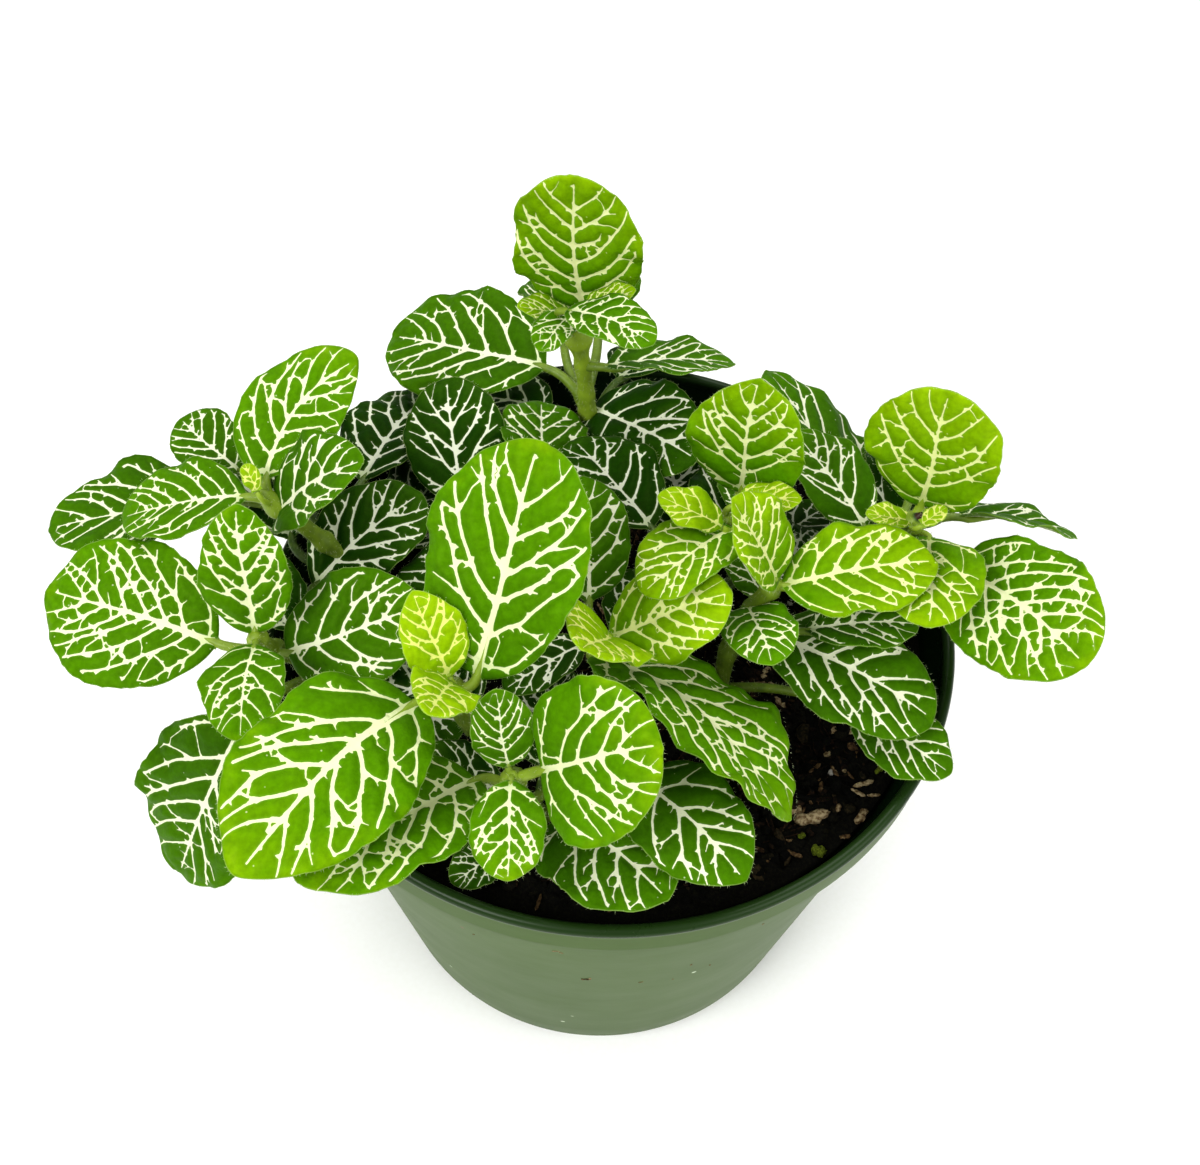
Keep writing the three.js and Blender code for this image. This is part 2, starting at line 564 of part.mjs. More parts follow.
function leafyStem(stem) {
  const curve = stemCurve(stem);
  const leaves = stem.leaves.map((spec, i) => leafSolid(curve, spec, i * LEAF_PHASE));
  return joined([rod(curve, STEM_RADIUS, STEM_SIDES, STEM_STEPS), ...leaves]);
}

// Scene graph

function piece(name, solid, colour, roughness) {
  const material = new THREE.MeshStandardMaterial({ color: colour, roughness, metalness: 0 });
  const mesh = new THREE.Mesh(geometryOf(solid), material);
  mesh.name = name;
  return mesh;
}

const plant = new THREE.Group();
plant.add(piece('pot', pot(), 0x4f7a50, 0.45));
plant.add(piece('potting_mix', soil(), 0x2a1d16, 0.95));
for (const [name, stem] of Object.entries(STEMS)) {
  plant.add(piece(name, leafyStem(stem), 0x4c9a12, 0.5));
}

export default plant;
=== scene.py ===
"""A potted nerve plant in a green nursery pot, dressed for rendering over its CAD frame.

Sizes in the classes are millimetres, as in the CAD; meshes are written in metres. The frame
has its origin in the middle of the pot's foot, with +Z up and the photograph taken along +Y.
"""
import logging
import math
from dataclasses import dataclass, field
from enum import Enum
from functools import partial
from typing import Any, Callable, Iterable, Sequence

import bpy
import numpy as np
from mathutils import Matrix, Vector, noise
from mathutils.geometry import delaunay_2d_cdt


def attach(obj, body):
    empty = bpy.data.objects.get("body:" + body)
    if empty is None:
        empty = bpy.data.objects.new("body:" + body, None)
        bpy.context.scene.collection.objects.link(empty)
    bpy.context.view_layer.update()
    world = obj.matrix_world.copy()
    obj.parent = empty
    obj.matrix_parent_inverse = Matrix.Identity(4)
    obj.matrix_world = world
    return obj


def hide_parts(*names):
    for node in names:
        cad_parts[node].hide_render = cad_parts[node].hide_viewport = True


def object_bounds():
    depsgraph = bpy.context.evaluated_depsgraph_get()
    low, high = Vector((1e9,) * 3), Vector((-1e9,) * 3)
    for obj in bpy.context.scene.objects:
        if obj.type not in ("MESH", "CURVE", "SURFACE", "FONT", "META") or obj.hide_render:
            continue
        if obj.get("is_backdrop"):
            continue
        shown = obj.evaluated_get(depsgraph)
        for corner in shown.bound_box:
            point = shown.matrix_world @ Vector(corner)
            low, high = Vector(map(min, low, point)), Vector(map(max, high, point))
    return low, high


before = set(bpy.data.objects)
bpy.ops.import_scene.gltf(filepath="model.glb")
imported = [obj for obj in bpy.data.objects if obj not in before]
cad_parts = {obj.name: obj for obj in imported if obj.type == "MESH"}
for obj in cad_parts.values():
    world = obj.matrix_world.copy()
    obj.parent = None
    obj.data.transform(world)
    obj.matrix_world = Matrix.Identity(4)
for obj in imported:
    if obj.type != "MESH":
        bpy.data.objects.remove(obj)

MM = 0.001
LOG = logging.getLogger("nerve_plant")

Array = np.ndarray
Colour = tuple[float, float, float, float]
Material = bpy.types.Material
Node = bpy.types.Node
Piece = bpy.types.Object


# Small helpers


def linear(srgb: str) -> Colour:
    """Turns an sRGB hex value such as "#4f7a50" into a linear RGBA colour.

    Args:
        srgb: The colour as "#rrggbb".

    Returns:
        The linear red, green and blue, and an alpha of 1.
    """
    parts = [int(srgb[i : i + 2], 16) / 255 for i in (1, 3, 5)]
    r, g, b = (c / 12.92 if c <= 0.04045 else ((c + 0.055) / 1.055) ** 2.4 for c in parts)
    return (r, g, b, 1.0)


def add(
    tree: bpy.types.NodeTree, kind: str, links: dict[Any, Any] | None = None, **settings: Any
) -> Node:
    """Adds one node with its inputs and settings.

    Args:
        tree: The node tree that gets the node.
        kind: The node's type name.
        links: Input name or number to another node, one output of it, or a plain value.
        settings: Properties of the node; "stops" holds (place, colour) pairs of a colour ramp.

    Returns:
        The new node.
    """
    node = tree.nodes.new(kind)
    for name, value in settings.items():
        if name == "stops":
            elements = node.color_ramp.elements
            while len(elements) < len(value):
                elements.new(0.5)
            for element, (place, colour) in zip(elements, value):
                element.position, element.color = place, colour
        else:
            setattr(node, name, value)
    for key, value in (links or {}).items():
        if isinstance(value, Node):
            value = next(output for output in value.outputs if output.enabled)
        if isinstance(value, bpy.types.NodeSocket):
            tree.links.new(value, node.inputs[key])
        else:
            node.inputs[key].default_value = value
    return node


def new_material(name: str) -> tuple[Material, Callable[..., Node]]:
    """Makes an empty node material.

    Args:
        name: The material's name.

    Returns:
        The material, and the function that adds a node to it.
    """
    material = bpy.data.materials.new(name)
    material.use_nodes = True
    material.node_tree.nodes.clear()
    return material, partial(add, material.node_tree)


def new_tree(name: str, inputs: Sequence[str]) -> tuple[Callable[..., Node], bpy.types.NodeOutputs]:
    """Makes a Geometry Nodes tree that takes and gives a mesh.

    Args:
        name: The tree's name.
        inputs: Names of its other inputs, all numbers; Seed and Count are whole ones.

    Returns:
        The function that adds a node to it, and the outputs of its input node.
    """
    tree = bpy.data.node_groups.new(name, "GeometryNodeTree")
    tree.interface.new_socket("Geometry", in_out="INPUT", socket_type="NodeSocketGeometry")
    for key in inputs:
        kind = "NodeSocketInt" if key in ("Seed", "Count") else "NodeSocketFloat"
        tree.interface.new_socket(key, in_out="INPUT", socket_type=kind)
    tree.interface.new_socket("Geometry", in_out="OUTPUT", socket_type="NodeSocketGeometry")
    put = partial(add, tree)
    return put, put("NodeGroupInput").outputs


def close_tree(put: Callable[..., Node], copies: Node, material: Material) -> None:
    """Ends a Geometry Nodes tree: its copies become plain mesh with a material.

    Args:
        put: The function that adds a node to the tree.
        copies: The node that gives the copies.
        material: The material of the result.
    """
    plain = put("GeometryNodeRealizeInstances", {0: copies})
    put("NodeGroupOutput", {0: put("GeometryNodeSetMaterial", {0: plain, "Material": material})})


def run_tree(piece: Piece, name: str, values: dict[str, float]) -> None:
    """Runs a Geometry Nodes tree on a piece and keeps the result as plain mesh.

    Args:
        piece: The object.
        name: The tree's name.
        values: The value of each of its inputs by name.
    """
    modifier = piece.modifiers.new(name, "NODES")
    modifier.node_group = bpy.data.node_groups[name]
    for item in modifier.node_group.interface.items_tree:
        if item.name in values:
            modifier[item.identifier] = values[item.name]
    settle(piece)


def make_object(
    name: str,
    points: Array,
    faces: Iterable[Sequence[int]],
    material: Material | None = None,
    values: dict[str, Array] | None = None,
) -> Piece:
    """Makes a smooth mesh object at the origin from points in millimetres.

    Args:
        name: The object's name.
        points: The vertices, one row each, in millimetres.
        faces: The faces as vertex numbers.
        material: The object's only material, if any.
        values: Named numbers for each vertex, kept as point attributes.

    Returns:
        The new object, linked to the scene.
    """
    mesh = bpy.data.meshes.new(name)
    mesh.from_pydata((np.asarray(points) * MM).tolist(), [], [list(f) for f in faces])
    for key, column in (values or {}).items():
        layer = mesh.attributes.new(key, "FLOAT", "POINT")
        layer.data.foreach_set("value", np.asarray(column, dtype=np.float32))
    mesh.polygons.foreach_set("use_smooth", [True] * len(mesh.polygons))
    mesh.update()
    made = bpy.data.objects.new(name, mesh)
    bpy.context.scene.collection.objects.link(made)
    if material is not None:
        mesh.materials.append(material)
    return made


def settle(piece: Piece) -> None:
    """Turns a piece's modifiers into plain mesh and removes them.

    Args:
        piece: The object whose modifiers are applied.
    """
    graph = bpy.context.evaluated_depsgraph_get()
    result = bpy.data.meshes.new_from_object(piece.evaluated_get(graph), depsgraph=graph)
    piece.modifiers.clear()
    old = piece.data
    piece.data = result
    result.name = piece.name
    bpy.data.meshes.remove(old)


def hand_over(pieces: Sequence[Piece], node: str) -> None:
    """Lets pieces stand for a CAD node and reports them.

    Args:
        pieces: The finished objects.
        node: The node that they replace.
    """
    for piece in pieces:
        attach(piece, "root")
        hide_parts(node)
        LOG.info("%s: %d faces", piece.name, len(piece.data.polygons))


# Finishes


@dataclass(frozen=True)
class LeafTissue:
    """Living leaf of a white-veined nerve plant.

    The blade is soft and satin, and lets some light through. Young leaves are lime green,
    old ones deep green, and the veins are almost white. The surface is finely pebbled.
    """

    blades: tuple[str, ...] = ("#1c4404", "#447404", "#5a9000", "#9cc208")
    veins: tuple[str, ...] = ("#f2f5e0", "#f6f8da", "#f6fac8", "#eff28a")
    underside: str = "#86a83c"
    hairline: str = "#b0c878"
    sheen: str = "#ecff84"
    roughness: float = 0.5
    see_through: float = 0.22
    pebbles_mm: float = 0.45
    dots_mm: float = 2.6

    def material(self) -> Material:
        """Builds the leaf material, which reads the leaf mesh's own attributes.

        Returns:
            The material.
        """
        made, put = new_material("nerve_plant_leaf")
        place = put("ShaderNodeTexCoord").outputs["Object"]
        vein, rim, age, along, upper = (
            put("ShaderNodeAttribute", attribute_name=name).outputs["Fac"]
            for name in ("vein", "rim", "age", "along", "upper")
        )
        # soft noise, by the size of its features in millimetres and its detail
        broad, patchy, fine, rough, cloudy = (
            put("ShaderNodeTexNoise", {"Vector": place, "Scale": 1 / (size * MM), "Detail": detail})
            for size, detail in ((6.0, 2.0), (4.0, 2.0), (0.9, 4.0), (0.7, 3.0), (2.5, 2.0))
        )
        apart = 1 / (self.dots_mm * MM)
        dots = put("ShaderNodeTexVoronoi", {"Vector": place, "Scale": apart}, feature="F1")
        ragged = put("ShaderNodeMath", {0: rough, 1: -0.5}, operation="ADD")
        ragged = put("ShaderNodeMath", {0: ragged, 1: 0.15, 2: vein}, operation="MULTIPLY_ADD")
        # each rises smoothly from 0 to 1 as its value goes from the first number to the second
        outwards, beside, mask, base, dotted, edge = (
            put(
                "ShaderNodeMapRange",
                {"Value": value, "From Min": low, "From Max": high},
                interpolation_type="SMOOTHSTEP",
            )
            for value, low, high in (
                (rim, 3.0, 0.2),
                (vein, -0.35, -0.02),
                (ragged, -0.03, 0.035),
                (along, 0.16, 0.0),
                (dots, 0.07, 0.03),
                (rim, 0.17, 0.02),
            )
        )
        # age of the tissue here: tips are a little younger than bases, and edges are patchy
        tone = put("ShaderNodeMath", {0: age, 1: -0.125}, operation="ADD")
        tone = put("ShaderNodeMath", {0: along, 1: 0.24, 2: tone}, operation="MULTIPLY_ADD")
        patches = put("ShaderNodeMath", {0: patchy, 1: -0.42}, operation="ADD")
        patches = put("ShaderNodeMath", {0: patches, 1: outwards}, operation="MULTIPLY")
        broad = put("ShaderNodeMath", {0: broad, 1: -0.5}, operation="ADD")
        tone = put("ShaderNodeMath", {0: broad, 1: 0.14, 2: tone}, operation="MULTIPLY_ADD")
        tone = put("ShaderNodeMath", {0: patches, 1: 0.34, 2: tone}, operation="MULTIPLY_ADD")
        blade, nerve = (
            put(
                "ShaderNodeValToRGB",
                {"Fac": share},
                stops=[(i / 3, linear(colour)) for i, colour in enumerate(colours)],
            )
            for share, colours in ((tone, self.blades), (age, self.veins))
        )
        shares = {}
        for name, share, strength in (
            ("beside", beside, 0.08),
            ("greener", base, 0.55),
            ("dotted", dotted, 0.5),
            ("edge", edge, 0.4),
            ("below", mask, 0.55),
            ("flatter", mask, 0.6),
        ):
            shares[name] = put("ShaderNodeMath", {0: share, 1: strength}, operation="MULTIPLY")
        # fine mottling of the blade, lighter right beside the veins
        mottle = put(
            "ShaderNodeValToRGB",
            {"Fac": fine},
            stops=[(0.3, (0.8, 0.8, 0.8, 1)), (0.7, (1.16, 1.16, 1.16, 1))],
        )
        mixed = {0: 0.7, 6: blade, 7: mottle}
        blade = put("ShaderNodeMix", mixed, data_type="RGBA", blend_type="MULTIPLY")
        hairline, underside = linear(self.hairline), linear(self.underside)
        blade = put("ShaderNodeMix", {0: shares["beside"], 6: blade, 7: hairline}, data_type="RGBA")
        # the midrib is greener where it meets the petiole, and old leaves carry mineral dots
        nerve = put("ShaderNodeMix", {0: shares["greener"], 6: nerve, 7: hairline}, data_type="RGBA")
        blade = put("ShaderNodeMix", {0: shares["dotted"], 6: blade, 7: nerve}, data_type="RGBA")
        face = put("ShaderNodeMix", {0: mask, 6: blade, 7: nerve}, data_type="RGBA")
        # a thin pale line along the edge
        face = put("ShaderNodeMix", {0: shares["edge"], 6: face, 7: hairline}, data_type="RGBA")
        below = put("ShaderNodeMix", {0: 0.55, 6: blade, 7: underside}, data_type="RGBA")
        below = put("ShaderNodeMix", {0: shares["below"], 6: below, 7: nerve}, data_type="RGBA")
        skin = put("ShaderNodeMix", {0: upper, 6: below, 7: face}, data_type="RGBA")
        # pebbled skin, finer and flatter on the veins
        pebbles = put(
            "ShaderNodeTexVoronoi",
            {"Vector": place, "Scale": 1 / (self.pebbles_mm * MM), "Smoothness": 0.6},
            feature="SMOOTH_F1",
        )
        flatter = put("ShaderNodeMath", {0: 1.0, 1: shares["flatter"]}, operation="SUBTRACT")
        relief = put("ShaderNodeMath", {0: pebbles, 1: flatter}, operation="MULTIPLY")
        bump = put("ShaderNodeBump", {"Strength": 0.32, "Distance": 0.12 * MM, "Height": relief})
        least = self.roughness - 0.07
        gloss = put("ShaderNodeMath", {0: cloudy, 1: 0.14, 2: least}, operation="MULTIPLY_ADD")
        body = put(
            "ShaderNodeBsdfPrincipled",
            {
                "Base Color": skin,
                "Roughness": gloss,
                "Normal": bump,
                "Specular IOR Level": 0.14,
                "Specular Tint": linear(self.sheen),
            },
        )
        through = put("ShaderNodeBsdfTranslucent", {"Color": skin, "Normal": bump})
        whole = put("ShaderNodeMixShader", {0: self.see_through, 1: body, 2: through})
        put("ShaderNodeOutputMaterial", {"Surface": whole})
        return made


@dataclass(frozen=True)
class StalkTissue:
    """Soft herbaceous stem and petiole: yellow green, brown where dried, and darker low down, partly with
    age and partly as painted shade under the leaves.
    """

    young: str = "#94ad2e"
    # old: dark green of old tissue, darkened further as painted shade for stalks under the leaves
    old: str = "#2c4a0e"
    dried: str = "#3c2412"
    roughness: float = 0.5

    def material(self) -> Material:
        """Builds the stem material.

        Returns:
            The material.
        """
        made, put = new_material("nerve_plant_stalk")
        place = put("ShaderNodeTexCoord").outputs["Object"]
        # mottling and low bumps some 1.4 mm across
        mottle = put("ShaderNodeTexNoise", {"Vector": place, "Scale": 700.0, "Detail": 3.0})
        age = put("ShaderNodeAttribute", attribute_name="age").outputs["Fac"]
        share = put(
            "ShaderNodeMath", {0: mottle, 1: 0.5, 2: age}, operation="MULTIPLY_ADD", use_clamp=True
        )
        stops = [(0.04, linear(self.dried)), (0.22, linear(self.old)), (1.0, linear(self.young))]
        skin = put("ShaderNodeValToRGB", {"Fac": share}, stops=stops)
        bump = put("ShaderNodeBump", {"Strength": 0.3, "Distance": 0.15 * MM, "Height": mottle})
        look = {"Base Color": skin, "Roughness": self.roughness, "Normal": bump}
        put("ShaderNodeOutputMaterial", {"Surface": put("ShaderNodeBsdfPrincipled", look)})
        return made


@dataclass(frozen=True)
class FineHair:
    """Short colourless plant hairs: pale, half see-through threads."""

    shaded: str = "#b4c98a"
    colour: str = "#dfe6c4"

    def material(self) -> Material:
        """Builds the hair material.

        Returns:
            The material.
        """
        made, put = new_material("nerve_plant_hair")
        place = put("ShaderNodeTexCoord").outputs["Object"]
        # hairs differ from one 3 mm patch to the next
        shade = put("ShaderNodeTexNoise", {"Vector": place, "Scale": 300.0})
        stops = [(0.3, linear(self.shaded)), (0.7, linear(self.colour))]
        skin = put("ShaderNodeValToRGB", {"Fac": shade}, stops=stops)
        body = put("ShaderNodeBsdfPrincipled", {"Base Color": skin, "Roughness": 0.5, "Alpha": 0.75})
        put("ShaderNodeOutputMaterial", {"Surface": body})
        return made


@dataclass(frozen=True)
class MouldedPolypropylene:
    """Injection-moulded polypropylene of a nursery pot.

    Satin sage green with a soft sheen, faint handling scuffs, and a few specks of dust and soil. The lip
    was polished in the mould and is glossier; the lip, a line under it and the inside wall carry painted
    shade, a near-black green.
    """

    body: str = "#3d551b"
    dusty: str = "#475f25"
    # painted shade: near-black green for the inside wall and the lip
    inside: str = "#132a12"
    lime: str = "#c9d6bb"
    dirt: str = "#6b4a34"
    roughness: float = 0.42

    def material(self) -> Material:
        """Builds the pot's material.

        Returns:
            The material.
        """
        made, put = new_material("moulded_polypropylene_green")
        place = put("ShaderNodeTexCoord").outputs["Object"]
        # faint clouds of dust some 35 mm across
        cloud = put("ShaderNodeTexNoise", {"Vector": place, "Scale": 28.0, "Detail": 4.0})
        stops = [(0.25, linear(self.body)), (0.85, linear(self.dusty))]
        skin = put("ShaderNodeValToRGB", {"Fac": cloud}, stops=stops)
        # painted shade: the "inside" attribute darkens the inside wall, the lip and a line under it
        painted_shade = put("ShaderNodeAttribute", attribute_name="inside").outputs["Fac"]
        skin = put("ShaderNodeMix", {0: painted_shade, 6: skin, 7: linear(self.inside)}, data_type="RGBA")
        # specks of dust and soil, at most 0.8 mm across and some 30 mm apart
        spread = {"Vector": place, "Scale": 105.0, "Randomness": 1.0}
        cells = put("ShaderNodeTexVoronoi", spread, feature="F1")
        speck = put("ShaderNodeMapRange", {"Value": cells, "From Min": 0.055, "From Max": 0.03})
        stops = [(0.35, linear(self.lime)), (0.8, linear(self.dirt))]
        tint = put("ShaderNodeValToRGB", {"Fac": cells.outputs["Color"]}, stops=stops)
        skin = put("ShaderNodeMix", {0: speck, 6: skin, 7: tint}, data_type="RGBA")
        # faint scuffs some 16 mm long round the wall and 8 mm high
        stretch = put("ShaderNodeMapping", {"Vector": place, "Scale": (1, 1, 2)})
        scuffs = put(
            "ShaderNodeTexNoise", {"Vector": stretch, "Scale": 60.0, "Detail": 6.0, "Roughness": 0.65}
        )
        low, high = self.roughness - 0.02, self.roughness + 0.05
        gloss = put(
            "ShaderNodeMapRange",
            {"Value": scuffs, "From Min": 0.3, "From Max": 0.75, "To Min": low, "To Max": high},
        )
        # the polished lip and the inside are smoother
        smooth = put("ShaderNodeMath", {0: painted_shade, 1: -0.17, 2: gloss}, operation="MULTIPLY_ADD")
        # mould grain, drawn 0.7 mm across because the real one is too fine to show
        grain = put("ShaderNodeTexNoise", {"Vector": place, "Scale": 1400.0, "Detail": 2.0})
        bump = put("ShaderNodeBump", {"Strength": 0.12, "Distance": 0.05 * MM, "Height": grain})
        look = {"Base Color": skin, "Roughness": smooth, "Normal": bump}
        body = put("ShaderNodeBsdfPrincipled", {**look, "IOR": 1.49, "Specular IOR Level": 0.2})
        put("ShaderNodeOutputMaterial", {"Surface": body})
        return made


@dataclass(frozen=True)
class Granules:
    """Loose matter whose grains differ in colour from one to the next."""

    name: str
    colours: tuple[str, ...]
    roughness: float = 0.9
    grain_mm: float = 0.5

    def material(self) -> Material:
        """Builds the material; each grain carries its own number in the "grain" attribute.

        Returns:
            The material.
        """
        made, put = new_material(self.name)
        place = put("ShaderNodeTexCoord").outputs["Object"]
        own = put("ShaderNodeAttribute", attribute_name="grain").outputs["Fac"]
        fineness = 1 / (self.grain_mm * MM)
        pits = put("ShaderNodeTexNoise", {"Vector": place, "Scale": fineness, "Detail": 5.0})
        share = put("ShaderNodeMath", {0: own, 1: 0.8, 2: -0.55}, operation="MULTIPLY_ADD")
        share = put(
            "ShaderNodeMath", {0: pits, 1: 1.3, 2: share}, operation="MULTIPLY_ADD", use_clamp=True
        )
        count = len(self.colours) - 1
        stops = [(i / count, linear(colour)) for i, colour in enumerate(self.colours)]
        skin = put("ShaderNodeValToRGB", {"Fac": share}, stops=stops)
        bump = put("ShaderNodeBump", {"Strength": 0.8, "Distance": 0.3 * MM, "Height": pits})
        look = {"Base Color": skin, "Roughness": self.roughness, "Normal": bump}
        body = put("ShaderNodeBsdfPrincipled", {**look, "Specular IOR Level": 0.15})
        put("ShaderNodeOutputMaterial", {"Surface": body})
        return made


# peat: crumbly, dark brown and darker while moist, painted near-black as shade under the leaves, browner
# where it dries
SHADED_PEAT = Granules("peat_moss", ("#030301", "#0b0a05", "#1a180d", "#3a301e"))
# composted bark: dark brown chips and fibres, pale where they are torn
BARK = Granules("composted_pine_bark", ("#0c0905", "#2c1e11", "#5c492f", "#a39474"), 0.85, 0.5)
# perlite: chalky white grains with pores
PERLITE = Granules("expanded_perlite", ("#8c8880", "#b9b5ab", "#e2dfd6"), 0.8, 0.4)
# moss: small dull tufts, yellow green at their tips
MOSS = Granules("living_moss", ("#2c360c", "#606c1c", "#94983f"), 0.9, 0.3)


# Leaves


class Age(Enum):
    """How old a leaf is, as a number from deep green to lime."""

    DEEP = 0.02
    MATURE = 0.31
    SMALL = 0.50
    HALF_GROWN = 0.58
    FULL = 0.60
    BRIGHT = 0.65
    FRESH = 0.78
    YOUNG = 0.97


@dataclass(frozen=True)
class Leaf:
    """One leaf, placed and grown as in the CAD.

    The base of its blade in millimetres; the compass heading, rise and roll of its midrib
    there in degrees; its length and width; how far it curls down along its length in
    degrees; how pointed its tip is; how deeply it is cupped; and how far its midrib sweeps
    sideways in degrees.
    """

    x: float
    y: float
    z: float
    heading: float
    rise: float
    roll: float
    length: float
    width: float
    curl: float
    tip: float = 0.58
    cup: float = 0.25
    sweep: float = 0.0
    age: Age = Age.DEEP

    @property
    def base(self) -> Array:
        """The base of the blade."""
        return np.array([self.x, self.y, self.z])

    def axes(self) -> tuple[Array, Array, Array]:
        """Gives the blade's directions at its base.

        Returns:
            The directions along it, across it and up from its face.
        """
        h, p, r = np.radians([self.heading, self.rise, self.roll])
        along = np.array([math.cos(p) * math.cos(h), math.cos(p) * math.sin(h), math.sin(p)])
        level = np.array([math.sin(h), -math.cos(h), 0.0])
        face = np.cross(level, along)
        return along, level * math.cos(r) + face * math.sin(r), face * math.cos(r) - level * math.sin(r)


class Blade:
    """The curved sheet of one leaf, and how flat leaf coordinates map onto it."""

    WIDEST = 0.62
    NECK = 0.9
    THICKNESS = 0.32
    WAVES = 2
    WAVE_HEIGHT = 0.045
    TOOTH_PITCH = 2.4

    def __init__(self, leaf: Leaf, phase: float, seed: int) -> None:
        """Takes a leaf.

        Args:
            leaf: The leaf.
            phase: Shift of the waves along the edges, as in the CAD.
            seed: Seed of the leaf's small irregularities.
        """
        self.leaf = leaf
        self.phase = phase
        self.rng = np.random.default_rng(seed)
        self.lobes = self.rng.uniform(-1, 1, 4)
        peak = self.WIDEST / (self.WIDEST + leaf.tip)
        self.full = peak**self.WIDEST * (1 - peak) ** leaf.tip

    def half_width(self, s: Array) -> Array:
        """Gives the half width of the blade.

        Args:
            s: Shares of its length.

        Returns:
            The half width at each of them.
        """
        s = np.clip(s, 0, 1)
        plain = self.leaf.width / 2 * s**self.WIDEST * (1 - s) ** self.leaf.tip / self.full
        return np.maximum(plain, self.NECK * (1 - s) ** 0.5)

    def outline(self, spacing: float) -> Array:
        """Gives the edge as a closed loop of flat points, with fine crenations.

        Args:
            spacing: Distance between points along the edge.

        Returns:
            The loop, from the right of the neck over the tip to the left of the neck.
        """
        length = self.leaf.length
        count = max(14, int(1.15 * length / spacing))
        s = 0.5 - 0.5 * np.cos(np.pi * np.arange(count + 1) / count)
        sides = []
        for side, turn in ((1, 0.0), (-1, 2.3)):
            broad = self.lobes[0] * np.sin(2 * np.pi * 1.5 * s + turn)
            narrow = self.lobes[1] * np.sin(2 * np.pi * 2.6 * s + 2 * turn)
            teeth = 0.24 * np.abs(np.sin(np.pi * length * s / self.TOOTH_PITCH + turn)) - 0.15
            uneven = 0.022 * self.leaf.width * (broad + narrow) + teeth
            x = self.half_width(s) + uneven * np.clip(4 * s * (1 - s), 0, 1)
            sides.append(np.stack([side * x, s * length], 1))
        return np.concatenate([sides[0][:-1], sides[1][::-1]])

    def place(self, flat: Array) -> Array:
        """Maps flat points (x across, y along, in millimetres) onto the curved sheet.

        Args:
            flat: The flat points, one row each.

        Returns:
            The points in space.
        """
        leaf = self.leaf
        along, across, up = leaf.axes()
        x, s = flat[:, 0], flat[:, 1] / leaf.length
        curl, sweep = math.radians(leaf.curl), math.radians(leaf.sweep)
        half = np.maximum(self.half_width(s), 0.5)
        t = np.clip(x / half, -1.1, 1.1)
        edge = np.abs(t)
        cup = half * leaf.cup * (edge * (1 - 0.45 * s) - 0.25 * t * t)
        wave = self.WAVE_HEIGHT * leaf.width * edge**3 * np.sin(np.pi * np.clip(s, 0, 1))
        wave = wave * np.sin(2 * np.pi * self.WAVES * s + self.phase + np.where(t > 0, 0, 2))
        turn = curl * s
        ahead = leaf.length * np.sin(turn) / curl - x * np.sin(sweep * s)
        drop = -leaf.length * (1 - np.cos(turn)) / curl
        aside = x * np.cos(sweep * s) + leaf.length * sweep * s * s / 2
        normal = np.cos(turn)[:, None] * up + np.sin(turn)[:, None] * along
        sheet = leaf.base + ahead[:, None] * along + aside[:, None] * across + drop[:, None] * up
        return sheet + (cup + wave)[:, None] * normal

    def normals(self, flat: Array) -> Array:
        """Gives the sheet's upward normals.

        Args:
            flat: Flat points, one row each.

        Returns:
            The unit normal at each of them.
        """
        step = 0.05
        middle = self.place(flat)
        right = self.place(flat + [step, 0]) - middle
        ahead = self.place(flat + [0, step]) - middle
        normal = np.cross(right, ahead)
        return normal / np.linalg.norm(normal, axis=1)[:, None]


@dataclass(frozen=True)
class VeinHabit:
    """How the veins of a leaf of one age grow.

    How many pairs of side veins it has; half widths of the midrib, side veins and links in
    millimetres, for a leaf 32 mm long; and the chances that a vein closes a loop or sends
    out a link.
    """

    pairs: float
    midrib: float
    side: float
    link: float
    closing: float
    linking: float

    @staticmethod
    def of(age: Age) -> "VeinHabit":
        """Gives the habit of leaves of one age.

        Args:
            age: Their age.

        Returns:
            How their veins grow.
        """
        growing = VeinHabit(6.8, 0.50, 0.23, 0.10, 0.55, 0.08)
        habits = {
            Age.YOUNG: VeinHabit(6.0, 0.50, 0.27, 0.12, 0.4, 0.05),
            Age.SMALL: VeinHabit(8.0, 0.40, 0.19, 0.09, 0.3, 0.03),
            Age.FRESH: growing,
            Age.HALF_GROWN: growing,
            Age.BRIGHT: VeinHabit(6.0, 0.62, 0.27, 0.12, 0.5, 0.1),
            Age.FULL: VeinHabit(7.4, 0.52, 0.23, 0.12, 0.9, 0.55),
        }
        return habits.get(age, VeinHabit(5.8, 0.50, 0.26, 0.11, 0.3, 0.1))


